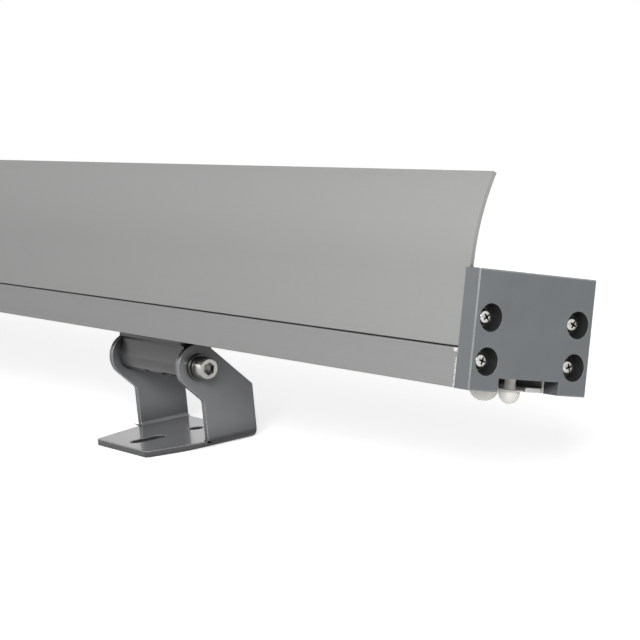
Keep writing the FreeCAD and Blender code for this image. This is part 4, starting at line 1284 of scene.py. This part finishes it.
@dataclass
class EndCap:
    """End plate with its gasket, its four screws and a bead of sealant."""

    side: Side
    half_length: float = 500.0
    seat_depth: float = 5.5
    screw_y: float = 20.8
    screw_heights: tuple[float, float] = (22.7, 38.6)
    screw_turns: tuple[float, ...] = (20.0, 65.0, -15.0, 40.0)
    screw: PanScrew = PanScrew(3.0, 2.4, Thread(1.25, 0.5), 13.0)
    washer_thickness: float = 0.5
    bead_x: float = 491.68
    bead_low: float = 12.3
    bead_high: float = 24.6
    bead_steps: int = 26

    def build(self, shop: Workshop) -> None:
        """Dress the plate and gasket, and make the screws and the bead.

        Args:
            shop: The workshop.
        """
        word = self.side.word
        shop.dress("end_cap_" + word, Palette.CAP, 0.12, Palette.CAP_ARRIS_HIGHLIGHT)
        shop.dress("end_gasket_" + word, Palette.GASKET)
        former = Former()
        washer = washer_rings(3.6, 1.5, self.washer_thickness, 0.12)
        seat = self.side.value * (self.half_length - self.seat_depth)
        spots = [(y, z) for y in (self.screw_y, -self.screw_y) for z in self.screw_heights]
        for (y, z), turn in zip(spots, self.screw_turns):
            place = HEAD.at(seat, y, z) @ self.side.out
            former.turned(washer, place, 40)
            place = place @ Matrix.Translation((0.0, 0.0, self.washer_thickness))
            self.screw.add(former, place @ Matrix.Rotation(math.radians(turn), 4, "Z"))
        piece = former.piece("end_screws_" + word)
        shop.fit(piece, Body.HEAD, [Palette.STEEL], "end_cap_screws_" + word)
        self._bead(shop)

    def _bead(self, shop: Workshop) -> None:
        """Make the thin bead of sealant in the corner of the strip and the plate.

        Args:
            shop: The workshop.
        """
        former = Former()
        section = [(0.0, 0.0), (0.0, -1.7), (0.9, -1.25), (2.1, -0.7), (3.1, -0.3),
                   (3.7, 0.0)]
        path = []
        for step in range(self.bead_steps + 1):
            share = step / self.bead_steps
            height = self.bead_low + (self.bead_high - self.bead_low) * share
            swell = 0.88 + 0.12 * math.sin(1.9 * step) * math.cos(0.7 * step)
            taper = swell * min(1.0, 0.3 + 4 * (1 - share))
            size = Matrix.Diagonal((-self.side.value * taper, taper, 1.0, 1.0))
            path.append(HEAD.at(self.side.value * self.bead_x, STRIP_FRONT, height) @ size)
        former.swept(section, path)
        piece = former.piece("sealant_bead_" + self.side.word)
        shop.fit(piece, Body.HEAD, [Palette.SEALANT])


@dataclass
class SwivelBracket:
    """Bracket, pivot block and their hardware on one side of the bar."""

    side: Side
    hub_half: float = 29.0
    ear_half: float = 33.0
    gap: float = 0.1
    bore: float = 3.05
    friction_radius: float = 6.8
    friction_thickness: float = 0.9
    flat_radius: float = 6.2
    flat_thickness: float = 1.6
    spring_thickness: float = 1.6
    spring_lift: float = 0.1
    wire_path: float = 4.2
    wire_half_width: float = 1.1
    wire_half_height: float = 0.62
    wire_edge: float = 0.18
    wire_rise: float = 0.16
    wire_steps: int = 48
    bolt_grip: float = 14.0
    lock_offset: float = 8.0
    lock_seat: float = -0.4
    lock_screw: SocketScrew = SocketScrew(3.5, 4.0, 1.75, 2.0, Thread(2.0, 0.7), 16.9)

    def build(self, shop: Workshop) -> None:
        """Dress the large pieces and make the hardware.

        Args:
            shop: The workshop.
        """
        word = self.side.word
        shop.dress("bracket_" + word, Palette.BRACKET, 0.35, Palette.BRACKET_ARRIS_HIGHLIGHT)
        # The block takes the darker copy of the bracket paint: painted shade under the body.
        shop.dress("pivot_block_" + word, Palette.HUB, 0.3)
        shop.dress("slider_nut_" + word, Palette.MILL, 0.25)
        self._bolts(shop)
        self._washers(shop)
        self._lock_screws(shop)

    def _ends(self) -> list[Matrix]:
        """Find the pivot axis, outwards from the middle to each end.

        Returns:
            One matrix for each end.
        """
        hub = HEAD.at(self.side.value * HEAD.hub_x)
        return [hub @ ALONG_X, hub @ AGAINST_X]

    def _bolts(self, shop: Workshop) -> None:
        """Make the pivot bolts.

        Args:
            shop: The workshop.
        """
        seat = self.ear_half + self.gap + self.flat_thickness + self.spring_thickness
        bolt = SocketScrew(5.0, 6.0, 2.9, 3.0, Thread(2.99, 1.0),
                           seat - self.hub_half + self.bolt_grip)
        former = Former()
        for end in self._ends():
            bolt.add(former, end @ Matrix.Translation((0, 0, seat)))
        piece = former.piece("cap_bolts_" + self.side.word)
        shop.fit(piece, self.side.hub, [Palette.BOLT_STEEL],
                 "pivot_bolts_" + self.side.word)

    def _washers(self, shop: Workshop) -> None:
        """Make the friction, flat and spring washers.

        Args:
            shop: The workshop.
        """
        word = self.side.word
        flat_start = self.ear_half + self.gap
        for name, node, start, size, finish in (
                ("friction_discs_", "friction_washers_", self.hub_half,
                 (self.friction_radius, self.bore, self.friction_thickness, 0.15),
                 Palette.NYLON),
                ("plain_washers_", "flat_washers_", flat_start,
                 (self.flat_radius, self.bore, self.flat_thickness, 0.2),
                 Palette.WASHER_STEEL_IN_SHADE)):
            former = Former()
            for end in self._ends():
                former.turned(washer_rings(*size),
                              end @ Matrix.Translation((0, 0, start)), 64)
            piece = former.piece(name + word)
            shop.fit(piece, self.side.hub, [finish], node + word)
        former = Former()
        for end in self._ends():
            start = flat_start + self.flat_thickness + self.spring_lift
            former.swept(self._spring_section(), self._spring_path(end, start))
        piece = former.piece("split_washers_" + word)
        shop.fit(piece, self.side.hub, [Palette.WASHER_STEEL_IN_SHADE], "spring_washers_" + word)

    def _spring_section(self) -> Section:
        """Section of the spring washer's wire, with eased corners.

        Returns:
            The corners.
        """
        wide, high, edge = self.wire_half_width, self.wire_half_height, self.wire_edge
        return [(-wide, -high + edge), (-wide + edge, -high), (wide - edge, -high),
                (wide, -high + edge), (wide, high - edge), (wide - edge, high),
                (-wide + edge, high), (-wide, high - edge)]

    def _spring_path(self, end: Matrix, start: float) -> list[Matrix]:
        """Path of the wire: not quite one turn, rising a little.

        Args:
            end: Matrix of this end of the pivot axis.
            start: Height of the lower face.

        Returns:
            The stops.
        """
        stops = []
        lay = Matrix.Rotation(math.pi / 2, 4, "X")
        for step in range(self.wire_steps + 1):
            share = step / self.wire_steps
            spin = Matrix.Rotation(math.radians(6 + 348 * share), 4, "Z")
            rise = start + self.wire_half_height + self.wire_rise * share
            stops.append(end @ Matrix.Translation((0, 0, rise)) @ spin
                         @ Matrix.Translation((self.wire_path, 0, 0)) @ lay)
        return stops

    def _lock_screws(self, shop: Workshop) -> None:
        """Make the screws that hold the block on the body.

        Args:
            shop: The workshop.
        """
        former = Former()
        hub = self.side.value * HEAD.hub_x
        for offset in (self.lock_offset, -self.lock_offset):
            place = HEAD.at(hub + offset, 0.0, self.lock_seat) @ UPSIDE_DOWN
            self.lock_screw.add(former, place, 48)
        piece = former.piece("socket_lock_screws_" + self.side.word)
        shop.fit(piece, self.side.hub, [Palette.STEEL], "lock_screws_" + self.side.word)


# ------------------------------------------------------------------ studio


WHITE = (1.0, 1.0, 1.0, 1.0)


@dataclass(frozen=True)
class SoftBox:
    """Rectangular lamp that looks at a point, in metres."""

    name: str
    place: Point
    aim: Point
    width: float
    height: float
    power: float


@dataclass
class Studio:
    """Pale floor, soft light and the photograph's camera."""

    camera_place: Point = (1.0596, -0.4717, 0.1977)
    camera_turn: Point = (81.057, 5.4244, 55.4699)
    lens: float = 113.36
    sensor: float = 36.0
    floor_reach: float = 60.0
    floor_shade: float = 0.86
    floor_lift: float = 0.5
    fade_start: float = 0.7
    fade_end: float = 1.5
    sky_low: float = 0.15
    sky_high: float = 0.5
    boxes: list[SoftBox] = field(default_factory=lambda: [
        SoftBox("key_box", (1.1, -0.65, 0.55), (0.42, 0.0, 0.06), 0.45, 0.35, 12.0),
        SoftBox("fill_box", (-1.2, -1.7, 1.2), (0.1, 0.0, 0.06), 1.4, 1.0, 3.0),
        SoftBox("back_box", (0.1, 2.0, 1.3), (0.0, 0.0, 0.06), 2.0, 1.0, 11.0),
    ])

    def build(self) -> None:
        """Build the stage."""
        self._floor()
        self._world()
        for box in self.boxes:
            self._lamp(box)
        self._camera()
        bpy.context.scene.view_settings.view_transform = "Standard"

    def _floor(self) -> None:
        """Lay the floor under the feet; far out it fades to white."""
        data = bpy.data.meshes.new("floor")
        reach = self.floor_reach
        corners = [(-reach, -reach, 0), (reach, -reach, 0), (reach, reach, 0),
                   (-reach, reach, 0)]
        data.from_pydata(corners, [], [(0, 1, 2, 3)])
        floor = bpy.data.objects.new("floor", data)
        bpy.context.scene.collection.objects.link(floor)
        material = bpy.data.materials.new("pale floor")
        material.use_nodes = True
        wires = Wiring(material.node_tree)
        shader = material.node_tree.nodes["Principled BSDF"]
        shade = self.floor_shade
        set_inputs(shader, {"Base Color": (shade, shade, shade, 1.0), "Roughness": 1.0,
                            "Specular IOR Level": 0.0})
        lift = wires.add("Emission")
        seen = wires.add("LightPath")
        wires.join(wires.maths("MULTIPLY", seen.outputs["Is Camera Ray"], self.floor_lift),
                   lift.inputs["Strength"])
        near = wires.add("AddShader")
        white = wires.add("Emission")
        far = wires.add("MixShader")
        place = wires.add("TexCoord")
        from_middle = wires.add("VectorMath", operation="LENGTH")
        wires.join(place.outputs["Object"], from_middle.inputs[0])
        fade = wires.spread(from_middle.outputs["Value"], 0.0, 1.0,
                            self.fade_start, self.fade_end)
        wires.join(shader.outputs[0], near.inputs[0], lift.outputs[0], near.inputs[1],
                   wires.maths("MULTIPLY", fade, seen.outputs["Is Camera Ray"]),
                   far.inputs[0], near.outputs[0], far.inputs[1],
                   white.outputs[0], far.inputs[2],
                   far.outputs[0], material.node_tree.nodes["Material Output"].inputs[0])
        data.materials.append(material)

    def _world(self) -> None:
        """Light the world softly, and show it white where it is seen."""
        world = bpy.data.worlds.new("studio")
        bpy.context.scene.world = world
        world.use_nodes = True
        wires = Wiring(world.node_tree)
        soft = world.node_tree.nodes["Background"]
        set_inputs(soft, {"Color": WHITE})
        sky = wires.add("TexCoord")
        split = wires.add("SeparateXYZ")
        wires.join(sky.outputs["Generated"], split.inputs[0],
                   wires.spread(split.outputs["Z"], self.sky_low, self.sky_high, -0.1, 1.0),
                   soft.inputs["Strength"])
        white = wires.add("Background", values={"Color": WHITE, "Strength": 1.0})
        path = wires.add("LightPath")
        seen = wires.maths("MAXIMUM", path.outputs["Is Camera Ray"],
                           wires.maths("MAXIMUM", path.outputs["Is Glossy Ray"],
                                       path.outputs["Is Transmission Ray"]))
        mix = wires.add("MixShader")
        wires.join(seen, mix.inputs[0], soft.outputs[0], mix.inputs[1],
                   white.outputs[0], mix.inputs[2],
                   mix.outputs[0], world.node_tree.nodes["World Output"].inputs[0])

    @staticmethod
    def _lamp(box: SoftBox) -> None:
        """Hang one soft box.

        Args:
            box: The soft box.
        """
        data = bpy.data.lights.new(box.name, "AREA")
        data.shape = "RECTANGLE"
        data.size = box.width
        data.size_y = box.height
        data.energy = box.power
        lamp = bpy.data.objects.new(box.name, data)
        lamp.location = box.place
        lamp.visible_camera = False
        look = Vector(box.aim) - Vector(box.place)
        lamp.rotation_euler = look.to_track_quat("-Z", "Y").to_euler()
        bpy.context.scene.collection.objects.link(lamp)

    def _camera(self) -> None:
        """Stand the camera where the photograph was taken."""
        data = bpy.data.cameras.new("camera")
        data.lens = self.lens
        data.sensor_width = self.sensor
        data.clip_start = 0.01
        data.clip_end = 200.0
        camera = bpy.data.objects.new("camera", data)
        camera.location = self.camera_place
        camera.rotation_euler = Euler([math.radians(turn) for turn in self.camera_turn])
        bpy.context.scene.collection.objects.link(camera)
        bpy.context.scene.camera = camera


def main() -> None:
    """Build the lamp's looks and the stage."""
    logging.basicConfig(level=logging.INFO, format="%(name)s: %(message)s")
    shop = Workshop()
    assemblies = [LampBody(), GlareShield(), LightEngine(), Driver(), Plugs()]
    for side in Side:
        assemblies += [EndCap(side), SwivelBracket(side)]
    for assembly in assemblies:
        assembly.build(shop)
        LOG.info("built %s", type(assembly).__name__)
    Studio().build()


if __name__ == "__main__":
    main()
